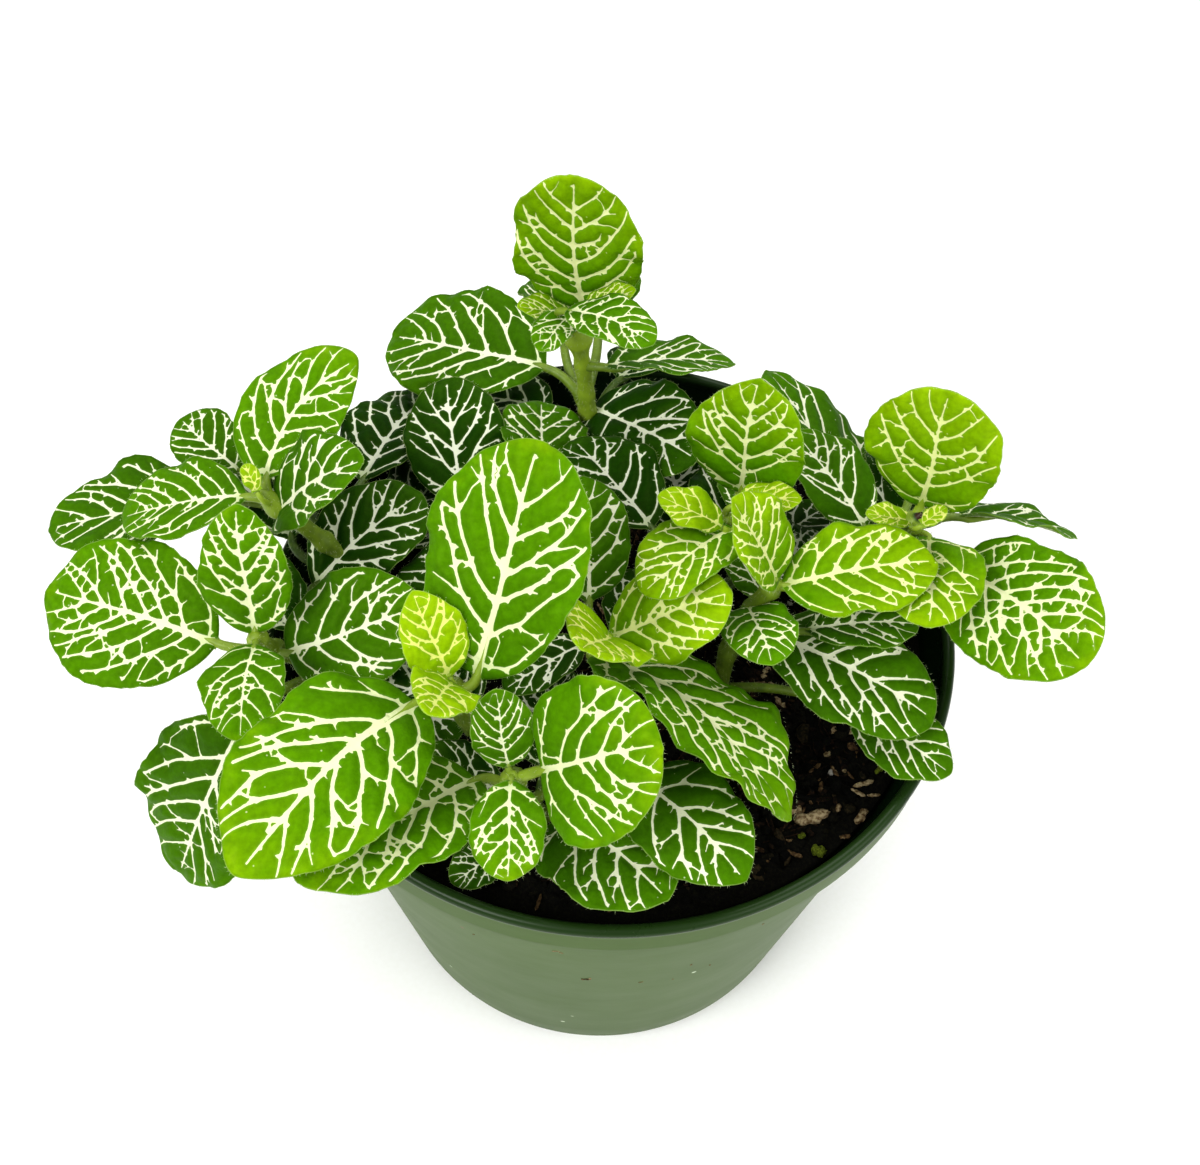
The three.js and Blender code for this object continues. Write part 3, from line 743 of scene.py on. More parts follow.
class VeinNetwork:
    """The veins of one blade, grown in flat leaf coordinates.

    Side veins leave the midrib in pairs and bend towards the tip. They branch and fork
    before the edge, some of the forks close into loops, thin links cross the fields
    between them, and short spurs stand off all of them.
    """

    STEP = 0.45
    FULL_LENGTH = 32

    def __init__(self, blade: Blade, habit: VeinHabit) -> None:
        """Grows the veins of a blade.

        Args:
            blade: The blade.
            habit: How its veins grow.
        """
        self.blade = blade
        self.habit = habit
        self.rng = blade.rng
        self.length = blade.leaf.length
        self.scale = (self.length / self.FULL_LENGTH) ** 0.9
        self.step = self.STEP * max(0.45, min(1.0, self.length / 24))
        self.gap = 1.25 * self.scale + 0.1
        self.veins: list[tuple[Array, Array]] = []
        self.laterals: list[tuple[int, int]] = []
        self.spots = np.empty((0, 2))
        self.owners = np.empty(0, dtype=int)
        self.hands = np.empty(0, dtype=int)
        self._grow_all()

    def _keep(self, points: list[tuple[float, float]], side: int, start: float, end: float) -> int:
        """Keeps a vein.

        Args:
            points: Its points.
            side: The half of the blade that it lies in, or 0 for the midrib.
            start: Its half width at the first point.
            end: Its half width at the last point.

        Returns:
            The vein's number.
        """
        line = np.array(points)
        share = np.linspace(0, 1, len(line))
        widths = start + (end - start) * share**0.85
        widths = widths * np.interp(line[:, 1] / self.length, (0.7, 0.95), (1, 0.55))
        self.veins.append((line, widths))
        number = len(self.veins) - 1
        self.spots = np.concatenate([self.spots, line])
        self.owners = np.concatenate([self.owners, np.full(len(line), number)])
        self.hands = np.concatenate([self.hands, np.full(len(line), side)])
        return number

    def _edge_share(self, x: float, y: float) -> float:
        """Gives how far out a point lies, from 0 at the midrib to 1 at the edge."""
        return abs(x) / max(0.1, float(self.blade.half_width(np.array(y / self.length))))

    def grow(
        self,
        start: tuple[float, float],
        side: int,
        angle: float,
        turn: float,
        reach: float,
        widths: tuple[float, float],
        parent: int,
        joins: bool = True,
        limit: float = 0.84,
    ) -> int | None:
        """Grows one vein until it reaches the edge zone, its length, or another vein.

        Args:
            start: Its first point.
            side: 1 for the right half of the blade, -1 for the left.
            angle: Its direction there, in degrees from the midrib's, outwards.
            turn: How much the direction turns towards the tip by the edge, in degrees.
            reach: Its longest length.
            widths: Half widths at its start and end.
            parent: The vein that it leaves.
            joins: Whether it runs into a vein that it meets, or stops short.
            limit: How far out it may go.

        Returns:
            The vein's number, or None if there is no room for one.
        """
        points = [start]
        first_share = self._edge_share(*start)
        waver = 0.0
        joined = False
        for k in range(int(reach / self.step)):
            x, y = points[-1]
            share = self._edge_share(x, y)
            if share > limit or y > 0.955 * self.length or y < 0:
                break
            waver = 0.82 * waver + self.rng.normal(0, 4.0)
            heading = math.radians(angle - turn * (share - first_share) + waver)
            nxt = (x + side * self.step * math.sin(heading), y + self.step * math.cos(heading))
            if (nxt[0] - start[0]) * side < 0 and parent == 0:
                break
            apart = np.hypot(self.spots[:, 0] - nxt[0], self.spots[:, 1] - nxt[1])
            apart = np.where(self.hands == -side, 99.0, apart)
            if k * self.step < 2.2 * self.gap:
                apart = np.where(self.owners == parent, 99.0, apart)
            nearest = int(np.argmin(apart))
            if apart[nearest] < self.gap * (0.8 if k > 1 else 0.45):
                if k < 2:
                    return None
                if joins:
                    points.append(tuple(self.spots[nearest]))
                    joined = True
                elif len(points) > 3:
                    points.pop()
                break
            points.append(nxt)
        if len(points) < 3:
            return None
        end = max(widths[1], 0.6 * widths[0]) if joined else widths[1]
        number = self._keep(points, side, widths[0], end)
        if not joined and len(points) > 4 and widths[0] > 0.1:
            self._fork(number, side, widths[1])
        return number

    def _direction(self, number: int, index: int, side: int) -> float:
        """Gives a vein's direction at one of its points.

        Args:
            number: The vein's number.
            index: The point's number on it.
            side: The half of the blade that it lies in.

        Returns:
            The direction in degrees from the midrib's, outwards.
        """
        line = self.veins[number][0]
        a, b = line[max(0, index - 1)], line[min(len(line) - 1, index + 1)]
        return math.degrees(math.atan2(side * (b[0] - a[0]), b[1] - a[1]))

    def _fork(self, number: int, side: int, width: float) -> None:
        """Ends a vein in up to two short pointed prongs.

        Args:
            number: The vein's number.
            side: The half of the blade that it lies in.
            width: Its half width at the end.
        """
        line, _ = self.veins[number]
        angle = self._direction(number, len(line) - 1, side)
        x, y = line[-1]
        for lean in (self.rng.uniform(18, 42), -self.rng.uniform(12, 38)):
            if self.rng.random() < 0.4:
                continue
            size = self.rng.uniform(0.6, 1.5) * self.scale + 0.2
            heading = math.radians(angle + lean)
            tip = (x + side * size * math.sin(heading), y + size * math.cos(heading))
            if self._edge_share(*tip) < 0.93:
                self._keep([(x, y), ((x + tip[0]) / 2, (y + tip[1]) / 2), tip], side, width, 0.03)

    def _grow_all(self) -> None:
        """Grows the midrib, then each finer order of veins in turn."""
        habit, rng, length, scale = self.habit, self.rng, self.length, self.scale
        reach = 0.94 * length
        count = max(8, int(reach / self.step))
        y = np.linspace(0, reach, count)
        sway = 0.012 * length * np.sin(y / length * np.pi * rng.uniform(1.2, 2.2) + rng.uniform(0, 3))
        sway = (sway - sway[0]) * np.clip(3 * y / length, 0, 1)
        midrib = self._keep(list(zip(sway, y)), 0, habit.midrib * scale, 0.2 * scale)
        spine, thick = self.veins[midrib]
        slimming = np.interp(y / reach, (0, 0.08, 0.3, 0.6, 1), (0.9, 1, 0.66, 0.46, 0.2))
        thick[:] = habit.midrib * scale * slimming
        grown = min(length, self.FULL_LENGTH) / self.FULL_LENGTH
        pairs = max(4, round(habit.pairs * (0.6 + 0.4 * grown)))
        for side in (1, -1):
            shift = rng.uniform(-0.25, 0.25)
            for i in range(pairs):
                share = 0.03 + 0.86 * (i + 0.25 + shift * 0.5 + rng.uniform(-0.1, 0.1)) / pairs
                start = tuple(spine[min(count - 1, max(1, int(share * count)))])
                rise = i / (pairs - 1)
                angle = float(np.interp(rise, (0, 0.2, 1), (77, 58, 42))) + rng.uniform(-5, 5)
                strength = (0.62, 0.9, 1.0, 0.96)[min(i, 3)] * (1 - 0.25 * max(0.0, rise - 0.6))
                broad = habit.side * scale * strength
                widths = (broad + 0.03, 0.6 * broad + 0.02)
                meets = i > 0 and rng.random() < habit.closing
                number = self.grow(start, side, angle, 40, length, widths, midrib, joins=meets, limit=0.9)
                if number is not None:
                    self.laterals.append((number, side))
        self._branch()
        self._close_loops()
        self._between(midrib, pairs)
        self._link()
        self._spurs()

    def _branch(self) -> None:
        """Grows branches off the side veins, mostly on the side towards the base."""
        rng, closing = self.rng, self.habit.closing
        for share, lean, chance in (
            (0.34, 40, 0.4 + 0.4 * closing),
            (0.56, 38, 0.5 + 0.4 * closing),
            (0.78, 40, 0.4 + 0.4 * closing),
            (0.62, -36, 0.1 + 0.25 * closing),
        ):
            turn = 28 if lean > 0 else -6
            for number, side in self.laterals:
                line, thick = self.veins[number]
                index = int((share + rng.uniform(-0.07, 0.07)) * (len(line) - 1))
                if index < 2 or index > len(line) - 3 or rng.random() > chance:
                    continue
                if line[index][1] > 0.8 * self.length:
                    continue
                angle = self._direction(number, index, side) + lean + rng.uniform(-8, 8)
                size = (thick[index] * 0.68, thick[index] * 0.34 + 0.02)
                meets = rng.random() < closing
                reach = self.length * 0.4
                self.grow(tuple(line[index]), side, angle, turn, reach, size, number, meets, 0.86)

    def _close_loops(self) -> None:
        """Closes fields along the edge by arches from one side vein to the next."""
        rng = self.rng
        for number, side in self.laterals:
            if rng.random() > 0.5 * self.habit.closing:
                continue
            line, thick = self.veins[number]
            index = int(rng.uniform(0.7, 0.85) * (len(line) - 1))
            x, y = line[index]
            ahead = float(self.blade.half_width(np.array((y + 1) / self.length)))
            here = float(self.blade.half_width(np.array(y / self.length)))
            angle = math.degrees(math.atan2(self._edge_share(x, y) * (ahead - here), 1.0)) - 6
            size = (thick[index] * 0.7, thick[index] * 0.4)
            self.grow((x, y), side, angle, 0, self.length * 0.24, size, number, limit=0.9)

    def _between(self, midrib: int, pairs: int) -> None:
        """Grows short veins off the midrib between the side veins.

        Args:
            midrib: The midrib's number.
            pairs: How many pairs of side veins leave it.
        """
        rng = self.rng
        spine, _ = self.veins[midrib]
        size = (self.habit.side * self.scale * 0.42, 0.05)
        for i in range(2 * pairs):
            if rng.random() > 0.35:
                continue
            share = 0.1 + 0.82 * (i + rng.uniform(0.3, 0.7)) / (2 * pairs)
            start = tuple(spine[int(share * (len(spine) - 1))])
            angle = rng.uniform(50, 70)
            reach = rng.uniform(1.6, 3.4) * self.scale
            self.grow(start, 1 if i % 2 else -1, angle, 20, reach, size, midrib, joins=False)

    def _link(self) -> None:
        """Grows thin cross links, whole or broken off, between neighbouring side veins."""
        rng, habit = self.rng, self.habit
        for number, side in self.laterals:
            line, _ = self.veins[number]
            for share, lean in ((s, a) for s in (0.22, 0.4, 0.58, 0.76) for a in (-82, 84)):
                if rng.random() > habit.linking:
                    continue
                index = int((share + rng.uniform(-0.06, 0.06)) * (len(line) - 1))
                if index < 1:
                    continue
                angle = self._direction(number, index, side) + lean + rng.uniform(-16, 16)
                whole = rng.random() < habit.closing * 0.75
                size = habit.link * self.scale * rng.uniform(0.7, 1.15)
                reach = (9.0 if whole else rng.uniform(1.0, 2.4)) * self.scale
                ends = (size, size * 0.8 if whole else 0.03)
                self.grow(tuple(line[index]), side, angle, 0, reach, ends, number, whole, 0.88)

    def _spurs(self) -> None:
        """Stands short thin spurs off every vein that is wide enough to carry them."""
        rng = self.rng
        small = 0.4 + 0.6 * self.scale
        for line, thick in list(self.veins):
            place = rng.uniform(0.3, 1.2)
            steps = np.linalg.norm(np.diff(line, axis=0), axis=1)
            travelled = 0.0
            for k in range(1, len(line) - 1):
                travelled += steps[k - 1]
                if travelled < place or thick[k] < 0.07:
                    continue
                place = travelled + rng.uniform(2.4, 6.2) * max(self.scale, 0.5)
                lead = (line[k + 1] - line[k - 1]) / np.linalg.norm(line[k + 1] - line[k - 1])
                across = np.array([-lead[1], lead[0]]) * rng.choice([-1, 1])
                size = thick[k] + rng.uniform(0.15, 0.62) * small
                way = across * 0.9 + lead * rng.uniform(0.1, 0.8)
                tip = line[k] + way / np.linalg.norm(way) * size
                if self._edge_share(*tip) < 0.95 and 0 < tip[1] < 0.97 * self.length:
                    width = rng.uniform(0.045, 0.075) * small
                    self.veins.append((np.array([line[k], tip]), np.array([width * 1.25, 0.5 * width])))

    def value(self, points: Array) -> Array:
        """Gives how far inside a vein each point lies, negative outside, in millimetres.

        Veins that run together are blended, which webs the corners where they meet.

        Args:
            points: Flat points, one row each.

        Returns:
            One number for each point.
        """
        soft = 0.095 * self.scale + 0.015
        total = np.zeros(len(points))
        best = np.full(len(points), -50.0)
        for line, thick in self.veins:
            a = line[:-1]
            run = line[1:] - a
            size = np.maximum((run**2).sum(1), 1e-9)
            low, high = line.min(0) - 4, line.max(0) + 4
            near = np.where(((points > low) & (points < high)).all(1))[0]
            if not len(near):
                continue
            offset = points[near, None, :] - a[None]
            share = np.clip((offset * run).sum(2) / size, 0, 1)
            apart = np.linalg.norm(offset - share[..., None] * run, axis=2)
            width = thick[:-1] + (thick[1:] - thick[:-1]) * share
            inside = (width - apart).max(1)
            total[near] += np.exp(np.clip(inside, -2.5, 3) / soft)
            best[near] = np.maximum(best[near], inside)
        return np.where(total > 0, soft * np.log(total + 1e-12), best).clip(-2.5, 2.5)


@dataclass
class Sheet:
    """Triangles of one or more leaves with the numbers that their finish reads."""

    points: list[Array] = field(default_factory=list)
    faces: list[Array] = field(default_factory=list)
    values: dict[str, list[Array]] = field(default_factory=dict)
    count: int = 0

    def take(self, points: Array, faces: Array, values: dict[str, Array]) -> None:
        """Adds points and faces.

        Args:
            points: The points, one row each.
            faces: Triangles of them, whose numbers start at 0.
            values: Named numbers, one for each point or one for all.
        """
        self.points.append(points)
        self.faces.append(np.asarray(faces) + self.count)
        for key, column in values.items():
            self.values.setdefault(key, []).append(np.broadcast_to(column, len(points)))
        self.count += len(points)

    def build(self, name: str, material: Material | None = None) -> Piece:
        """Makes the object.

        Args:
            name: Its name.
            material: Its material, if any.

        Returns:
            The object.
        """
        values = {key: np.concatenate(columns) for key, columns in self.values.items()}
        faces = np.concatenate(self.faces).tolist()
        return make_object(name, np.concatenate(self.points), faces, material, values)


class LeafMaker:
    """Turns leaves into fine double-sided sheets with quilted fields between their veins."""

    def __init__(self, quilt: float = 0.029) -> None:
        """Takes how far a field bulges, as a part of the leaf's length."""
        self.quilt = quilt

    def flat_mesh(self, blade: Blade, veins: VeinNetwork) -> tuple[Array, Array, Array]:
        """Triangulates a flat blade with vertices along its edge and all its veins.

        Args:
            blade: The blade.
            veins: Its veins.

        Returns:
            The flat points, the triangles, and the loop of the edge as flat points.
        """
        length = blade.leaf.length
        spacing = 0.52 if length > 19 else 0.44 if length > 12 else 0.3
        edge = blade.outline(spacing * 1.25)
        lines, segments = [edge], []
        start = len(edge)
        for line, _ in veins.veins:
            share = np.abs(line[:, 0]) / blade.half_width(line[:, 1] / length)
            fit = line[(share < 0.965) & (line[:, 1] > 0.3) & (line[:, 1] < 0.975 * length)]
            if len(fit) < 2:
                continue
            lines.append(fit)
            segments += [(start + k, start + k + 1) for k in range(len(fit) - 1)]
            start += len(fit)
        known = np.concatenate(lines)
        wide = blade.leaf.width / 2 + 1
        grid = []
        for k, y in enumerate(np.arange(0.5 * spacing, length, spacing * 0.866)):
            x = np.arange(-wide, wide, spacing) + (spacing / 2 if k % 2 else 0)
            x = x[np.abs(x) < blade.half_width(np.full(len(x), y / length)) - 0.35 * spacing]
            grid.append(np.stack([x, np.full(len(x), y)], 1))
        fill = np.concatenate(grid)
        fill = fill + blade.rng.uniform(-0.08, 0.08, fill.shape) * spacing
        apart = np.full(len(fill), 9.0)
        for chunk in np.array_split(np.arange(len(fill)), max(1, len(fill) // 400)):
            gaps = fill[chunk, None, :] - known[None]
            apart[chunk] = np.sqrt((gaps**2).sum(2)).min(1)
        points = np.concatenate([known, fill[apart > 0.45 * spacing]])
        rim = [list(range(len(edge)))]
        result = delaunay_2d_cdt([Vector(p) for p in points], segments, rim, 1, 1e-4)
        flat = np.array([tuple(p) for p in result[0]])
        faces = np.array(result[2])
        used = np.unique(faces)
        renumber = np.full(len(flat), -1)
        renumber[used] = np.arange(len(used))
        return flat[used], renumber[faces], edge

    def make(self, leaf: Leaf, phase: float, seed: int, sheet: Sheet) -> Blade:
        """Adds one leaf to a sheet.

        Args:
            leaf: The leaf.
            phase: Shift of its waves.
            seed: Seed of its veins and irregularities.
            sheet: The sheet that it is added to.

        Returns:
            The leaf's blade.
        """
        blade = Blade(leaf, phase, seed)
        veins = VeinNetwork(blade, VeinHabit.of(leaf.age))
        flat, faces, edge = self.flat_mesh(blade, veins)
        value = veins.value(flat)
        closed = np.concatenate([edge, edge[:1]])
        run = np.diff(closed, axis=0)
        offset = flat[:, None, :] - closed[None, :-1]
        share = np.clip((offset * run).sum(2) / (run**2).sum(1), 0, 1)
        rim = np.linalg.norm(offset - share[..., None] * run, axis=2).min(1)
        normal = blade.normals(flat)
        # fields bulge between the sunken veins, and the edge ripples
        bulge = self.quilt * leaf.length + 0.05
        out = np.clip(-value, 0, None)
        height = bulge * (1 - np.exp(-out / (0.03 * leaf.length + 0.25)))
        height = height * np.clip(rim / 2.0, 0.25, 1)
        height = height - 0.22 * np.clip(value, 0, 1) * np.clip(rim / 2, 0, 1)
        side = flat[:, 0] / np.maximum(blade.half_width(flat[:, 1] / leaf.length), 0.5)
        ripple = np.sin(flat[:, 1] * 1.15 + phase + np.where(side > 0, 0, 1.4))
        height = height + 0.011 * leaf.length * ripple * np.abs(side) ** 3
        middle = blade.place(flat) + (height - 0.4 * bulge)[:, None] * normal
        half = Blade.THICKNESS / 2 * np.clip(rim / 0.4, 0.35, 1)
        rib = np.clip(value, 0, None) * 0.9
        a, b, c = faces.T
        winding = np.cross(flat[b] - flat[a], flat[c] - flat[a])
        faces = np.where((winding < 0)[:, None], faces[:, ::-1], faces)
        count = len(flat)
        borders = self._borders(faces)
        skirt = [(p, q, q + count) for q, p in borders] + [(p, q + count, p + count) for q, p in borders]
        tint = blade.rng.uniform(-0.05, 0.05)
        sheet.take(
            np.concatenate([middle + half[:, None] * normal, middle - (half + rib)[:, None] * normal]),
            np.concatenate([faces, faces[:, ::-1] + count, np.array(skirt)]),
            {
                "vein": np.tile(value, 2),
                "rim": np.tile(rim, 2),
                "along": np.tile(flat[:, 1] / leaf.length, 2),
                "age": leaf.age.value + tint,
                "upper": np.concatenate([np.ones(count), np.zeros(count)]),
            },
        )
        return blade

    @staticmethod
    def _borders(faces: Array) -> list[tuple[int, int]]:
        """Gives the directed edges that belong to only one triangle."""
        directed = {(int(f[k]), int(f[(k + 1) % 3])) for f in faces for k in range(3)}
        return [(a, b) for a, b in directed if (b, a) not in directed]


# Stems


def through(points: Sequence[Sequence[float]], count: int) -> Array:
    """Gives points on a smooth curve through given points.

    Args:
        points: The points to pass.
        count: How many points to give.

    Returns:
        The curve's points, one row each.
    """
    p = np.array(points, dtype=float)
    p = np.concatenate([2 * p[:1] - p[1:2], p, 2 * p[-1:] - p[-2:-1]])
    result = []
    for u in np.linspace(0, len(p) - 3, count):
        k = min(int(u), len(p) - 4)
        t = u - k
        a, b, c, d = p[k : k + 4]
        bend = (2 * a - 5 * b + 4 * c - d) * t**2 + (3 * b - a - 3 * c + d) * t**3
        result.append(0.5 * (2 * b + (c - a) * t + bend))
    return np.array(result)


def bent(start: Array, bend: Array, end: Array, count: int) -> Array:
    """Gives points on a curve from start to end that heads for a bend between them."""
    t = np.linspace(0, 1, count)[:, None]
    return (1 - t) ** 2 * start + 2 * t * (1 - t) * bend + t**2 * end


def full_turn(sides: int) -> Array:
    """Gives equally spaced angles round a full turn."""
    return 2 * np.pi * np.arange(sides) / sides


def circle(radius: float, z: float, turns: Array) -> Array:
    """Gives level points round the Z axis, one row for each angle."""
    return np.stack([radius * np.cos(turns), radius * np.sin(turns), np.full(len(turns), z)], 1)


def closed_skin(rings: Sequence[Array], poles: Sequence[Any]) -> tuple[Array, list[tuple[int, ...]]]:
    """Joins rings of points into one closed skin.

    Args:
        rings: Loops of equally many points, which turn the same way, in order.
        poles: The points that close the first ring and the last one.

    Returns:
        The skin's points and faces.
    """
    n, last = len(rings[0]), (len(rings) - 1) * len(rings[0])
    faces: list[tuple[int, ...]] = []
    for i in range(n):
        j = (i + 1) % n
        faces += [(k + n + i, k + i, k + j, k + n + j) for k in range(0, last, n)]
        faces += [(last + n, j, i), (last + n + 1, last + i, last + j)]
    return np.concatenate([*rings, poles]), faces


def tube(line: Array, radii: Array, sides: int = 10) -> tuple[Array, Array]:
    """Makes a closed round tube along a line.

    Args:
        line: The points of its axis.
        radii: Its radius at each of them.
        sides: How many sides it has.

    Returns:
        Its points and triangles.
    """
    lead = np.gradient(line, axis=0)
    lead /= np.linalg.norm(lead, axis=1)[:, None]
    across = np.cross(lead[0], [0.3, 0.5, 0.8])
    turns = full_turn(sides)[:, None]
    rings = []
    for point, way, radius in zip(line, lead, radii):
        across = across - way * across.dot(way)
        across /= np.linalg.norm(across)
        rings.append(point + radius * (np.cos(turns) * across + np.sin(turns) * np.cross(way, across)))
    points, faces = closed_skin(rings, line[[0, -1]])
    halves = ([f] if len(f) == 3 else [f[1:], (f[1], f[3], f[0])] for f in faces)
    return points, np.array([half for pair in halves for half in pair])


def splinter(
    middle: Array, lead: Array, up: Array, size: tuple[float, float, float], seed: int
) -> tuple[Array, Array]:
    """Makes a rough flat splinter or crumb.

    Args:
        middle: Its middle.
        lead: The direction of its length.
        up: The direction of its height.
        size: Its length, width and height.
        seed: Seed of its unevenness.

    Returns:
        Its points and triangles.
    """
    rng = np.random.default_rng(seed)
    length, width, height = size
    share = np.linspace(-1, 1, 9)
    girth = np.sqrt(1.04 - share**4) * rng.uniform(0.7, 1.1, len(share)) * width / 2
    bow = rng.uniform(-0.12, 0.12) * width * share**2 + rng.normal(0, 0.06 * width, len(share))
    line = middle + np.outer(share * length / 2, lead) + np.outer(bow, np.cross(up, lead))
    points, faces = tube(line, girth, 9)
    rise = (points - middle) @ up
    points = points - np.outer(rise * (1 - height / width), up)
    return points + rng.normal(0, 0.035 * width, points.shape), faces


@dataclass
class LeafyStem:
    """A rooted cutting: its stem's axis, and its leaves from the top down.

    The stem's tone runs from its foot to its tip, where a leaf pair that dropped early may have left a
    dried end; the foot is painted darker as shade under the leaves.
    """

    name: str
    axis: tuple[tuple[float, float, float], ...]
    leaves: tuple[Leaf, ...]
    stem_radius: float = 1.45
    petiole_radius: float = 0.78
    petiole_slope: float = 0.45
    petiole_bend: float = 0.45
    lowest_joint: float = 88.0
    leaf_phase: float = 1.7
    stem_tones_and_shade: tuple[float, float] = (0.02, 0.5)
    dried_tip: bool = False

    def joint(self, curve: Array, base: Array) -> int:
        """Gives the number of the stem point where the petiole of a blade springs.

        Args:
            curve: The stem's points.
            base: The base of the blade.

        Returns:
            The point's number on the curve.
        """
        spots = curve[: int(0.95 * len(curve))]
        reach = np.hypot(*(spots[:, :2] - base[:2]).T).min()
        height = max(base[2] - self.petiole_slope * reach - self.petiole_radius, self.lowest_joint)
        return int(np.argmin(np.abs(spots[:, 2] - height)))

    def build(self, maker: LeafMaker, looks: "PlantLooks") -> None:
        """Makes the leaves, stalks and hairs, and lets them stand for the CAD node.

        Args:
            maker: Makes the leaf sheets.
            looks: The plant's materials.
        """
        seed = sum(ord(c) for c in self.name)
        blades, stalks, fringe = Sheet(), Sheet(), Sheet()
        curve = through(self.axis, 61)
        spots = np.arange(len(curve))
        radii = np.full(len(curve), self.stem_radius) * np.linspace(1.08, 0.85, len(curve))
        for i, leaf in enumerate(self.leaves):
            blade = maker.make(leaf, i * self.leaf_phase, 100 * seed + i, blades)
            joint = self.joint(curve, leaf.base)
            self._petiole(curve[joint], leaf, blade, stalks)
            self._fringe(blade, fringe)
            radii += 0.28 * np.exp(-(((spots - joint) / 1.6) ** 2))
        radii[-2:] *= (0.8, 0.5)
        # darker towards the foot, partly with age and partly as painted shade under the leaves
        tones = np.linspace(*self.stem_tones_and_shade, len(curve))
        if self.dried_tip:
            tones[-2:] = -0.35
            radii[-4:] *= (0.9, 0.7, 0.5, 0.4)
        sides = 12
        ages = np.concatenate([np.repeat(tones, sides), [tones[0], tones[-1]]])
        stalks.take(*tube(curve, radii, sides), {"age": ages})
        coat, name = looks.hairs, self.name
        pieces = (
            blades.build(f"{name}_leaves", looks.leaf),
            stalks.build(f"{name}_stalks", looks.stalk),
            coat.grow(f"{name}_edge_hairs", fringe, coat.EDGE_DENSITY, coat.EDGE_LENGTH, seed),
            coat.grow(f"{name}_stalk_hairs", stalks, coat.STALK_DENSITY, coat.STALK_LENGTH, seed + 1),
        )
        hand_over(pieces, name)

    def _petiole(self, start: Array, leaf: Leaf, blade: Blade, stalks: Sheet) -> None:
        """Adds a petiole that springs from the stem and runs out under the blade's midrib.

        Args:
            start: Where it springs.
            leaf: Its leaf.
            blade: The leaf's blade.
            stalks: The sheet that it is added to.
        """
        along, _, up = leaf.axes()
        bend = leaf.base - along * self.petiole_bend * np.linalg.norm(leaf.base - start)
        radius = self.petiole_radius * min(1.0, 0.45 + leaf.length / 40)
        under = np.stack([np.zeros(6), np.linspace(0.02, 0.3, 6) * leaf.length], 1)
        slimming = radius * np.array([0.92, 0.84, 0.72, 0.56, 0.4, 0.2])
        depth = slimming * np.array([0.8, 1, 1, 1, 1, 1]) + np.array([0.05, 0.3, 0.35, 0.35, 0.35, 0.35])
        tail = blade.place(under) - depth[:, None] * blade.normals(under)
        line = np.concatenate([bent(start, bend, leaf.base - 0.6 * radius * up, 12)[:-1], tail])
        radii = np.concatenate([np.linspace(1.2, 0.96, 11) * radius, slimming])
        # petioles are painted darker than their leaves' age gives, as shade under the blades
        stalks.take(*tube(line, radii), {"age": leaf.age.value * 0.65 + 0.1})

    def _fringe(self, blade: Blade, fringe: Sheet) -> None:
        """Adds a narrow ribbon along the edge of a blade, which faces outwards, for hairs.

        Args:
            blade: The blade.
            fringe: The sheet that it is added to.
        """
        edge = blade.outline(0.8)
        lift = 0.08 * blade.normals(edge)
        points = blade.place(edge)
        n = len(edge)
        faces = [f for i in range(n - 1) for f in ((i + 1 + n, i + 1, i), (i + n, i + 1 + n, i))]
        fringe.take(np.concatenate([points + lift, points - lift]), np.array(faces), {"age": 1.0})


class HairCoat:
    """Short hairs that stand on a surface, made by one Geometry Nodes tree.

    A density is the number of hairs on a square millimetre; lengths are those of the longest.
    """

    TREE = "standing_hairs"
    THICKNESS = 0.034
    EDGE_DENSITY = 9.0
    EDGE_LENGTH = 0.5
    STALK_DENSITY = 1.3
    STALK_LENGTH = 0.75

    def __init__(self, material: Material) -> None:
        """Builds the tree.

        Args:
            material: The hairs' material.
        """
        self.material = material
        put, given = new_tree(self.TREE, ("Per square metre", "Length", "Thickness", "Seed"))
        seed = given["Seed"]
        spread = put(
            "GeometryNodeDistributePointsOnFaces",
            {"Mesh": given["Geometry"], "Density": given["Per square metre"], "Seed": seed},
        )
        size = {"Radius Top": 0.0, "Radius Bottom": given["Thickness"], "Depth": given["Length"]}
        hair = put("GeometryNodeMeshCone", {"Vertices": 3, **size}, fill_type="NONE")
        lean = put(
            "FunctionNodeRandomValue",
            {0: (-0.5, -0.5, 0.0), 1: (0.5, 0.5, 6.28), "Seed": seed},
            data_type="FLOAT_VECTOR",
        )
        upright = spread.outputs["Rotation"]
        turned = put("FunctionNodeRotateEuler", {"Rotation": upright, "Rotate By": lean}, space="LOCAL")
        scale = put("FunctionNodeRandomValue", {2: 0.45, 3: 1.0, "Seed": seed}, data_type="FLOAT")
        stand = {"Points": spread, "Instance": hair, "Rotation": turned, "Scale": scale}
        close_tree(put, put("GeometryNodeInstanceOnPoints", stand), material)

    def grow(self, name: str, sheet: Sheet, density: float, length: float, seed: int) -> Piece:
        """Grows hairs on a surface.

        Args:
            name: The new object's name.
            sheet: The surface that carries them.
            density: How many hairs stand on a square millimetre.
            length: The longest hair, in millimetres.
            seed: Seed of their places.

        Returns:
            The hairs as one object.
        """
        piece = sheet.build(name, self.material)
        sizes = {"Length": length * MM, "Thickness": self.THICKNESS * MM, "Seed": seed}
        run_tree(piece, self.TREE, {"Per square metre": density * 1e6, **sizes})
        return piece


@dataclass
class PlantLooks:
    """The materials and hair coat that every stem shares."""

    leaf: Material
    stalk: Material
    hairs: HairCoat


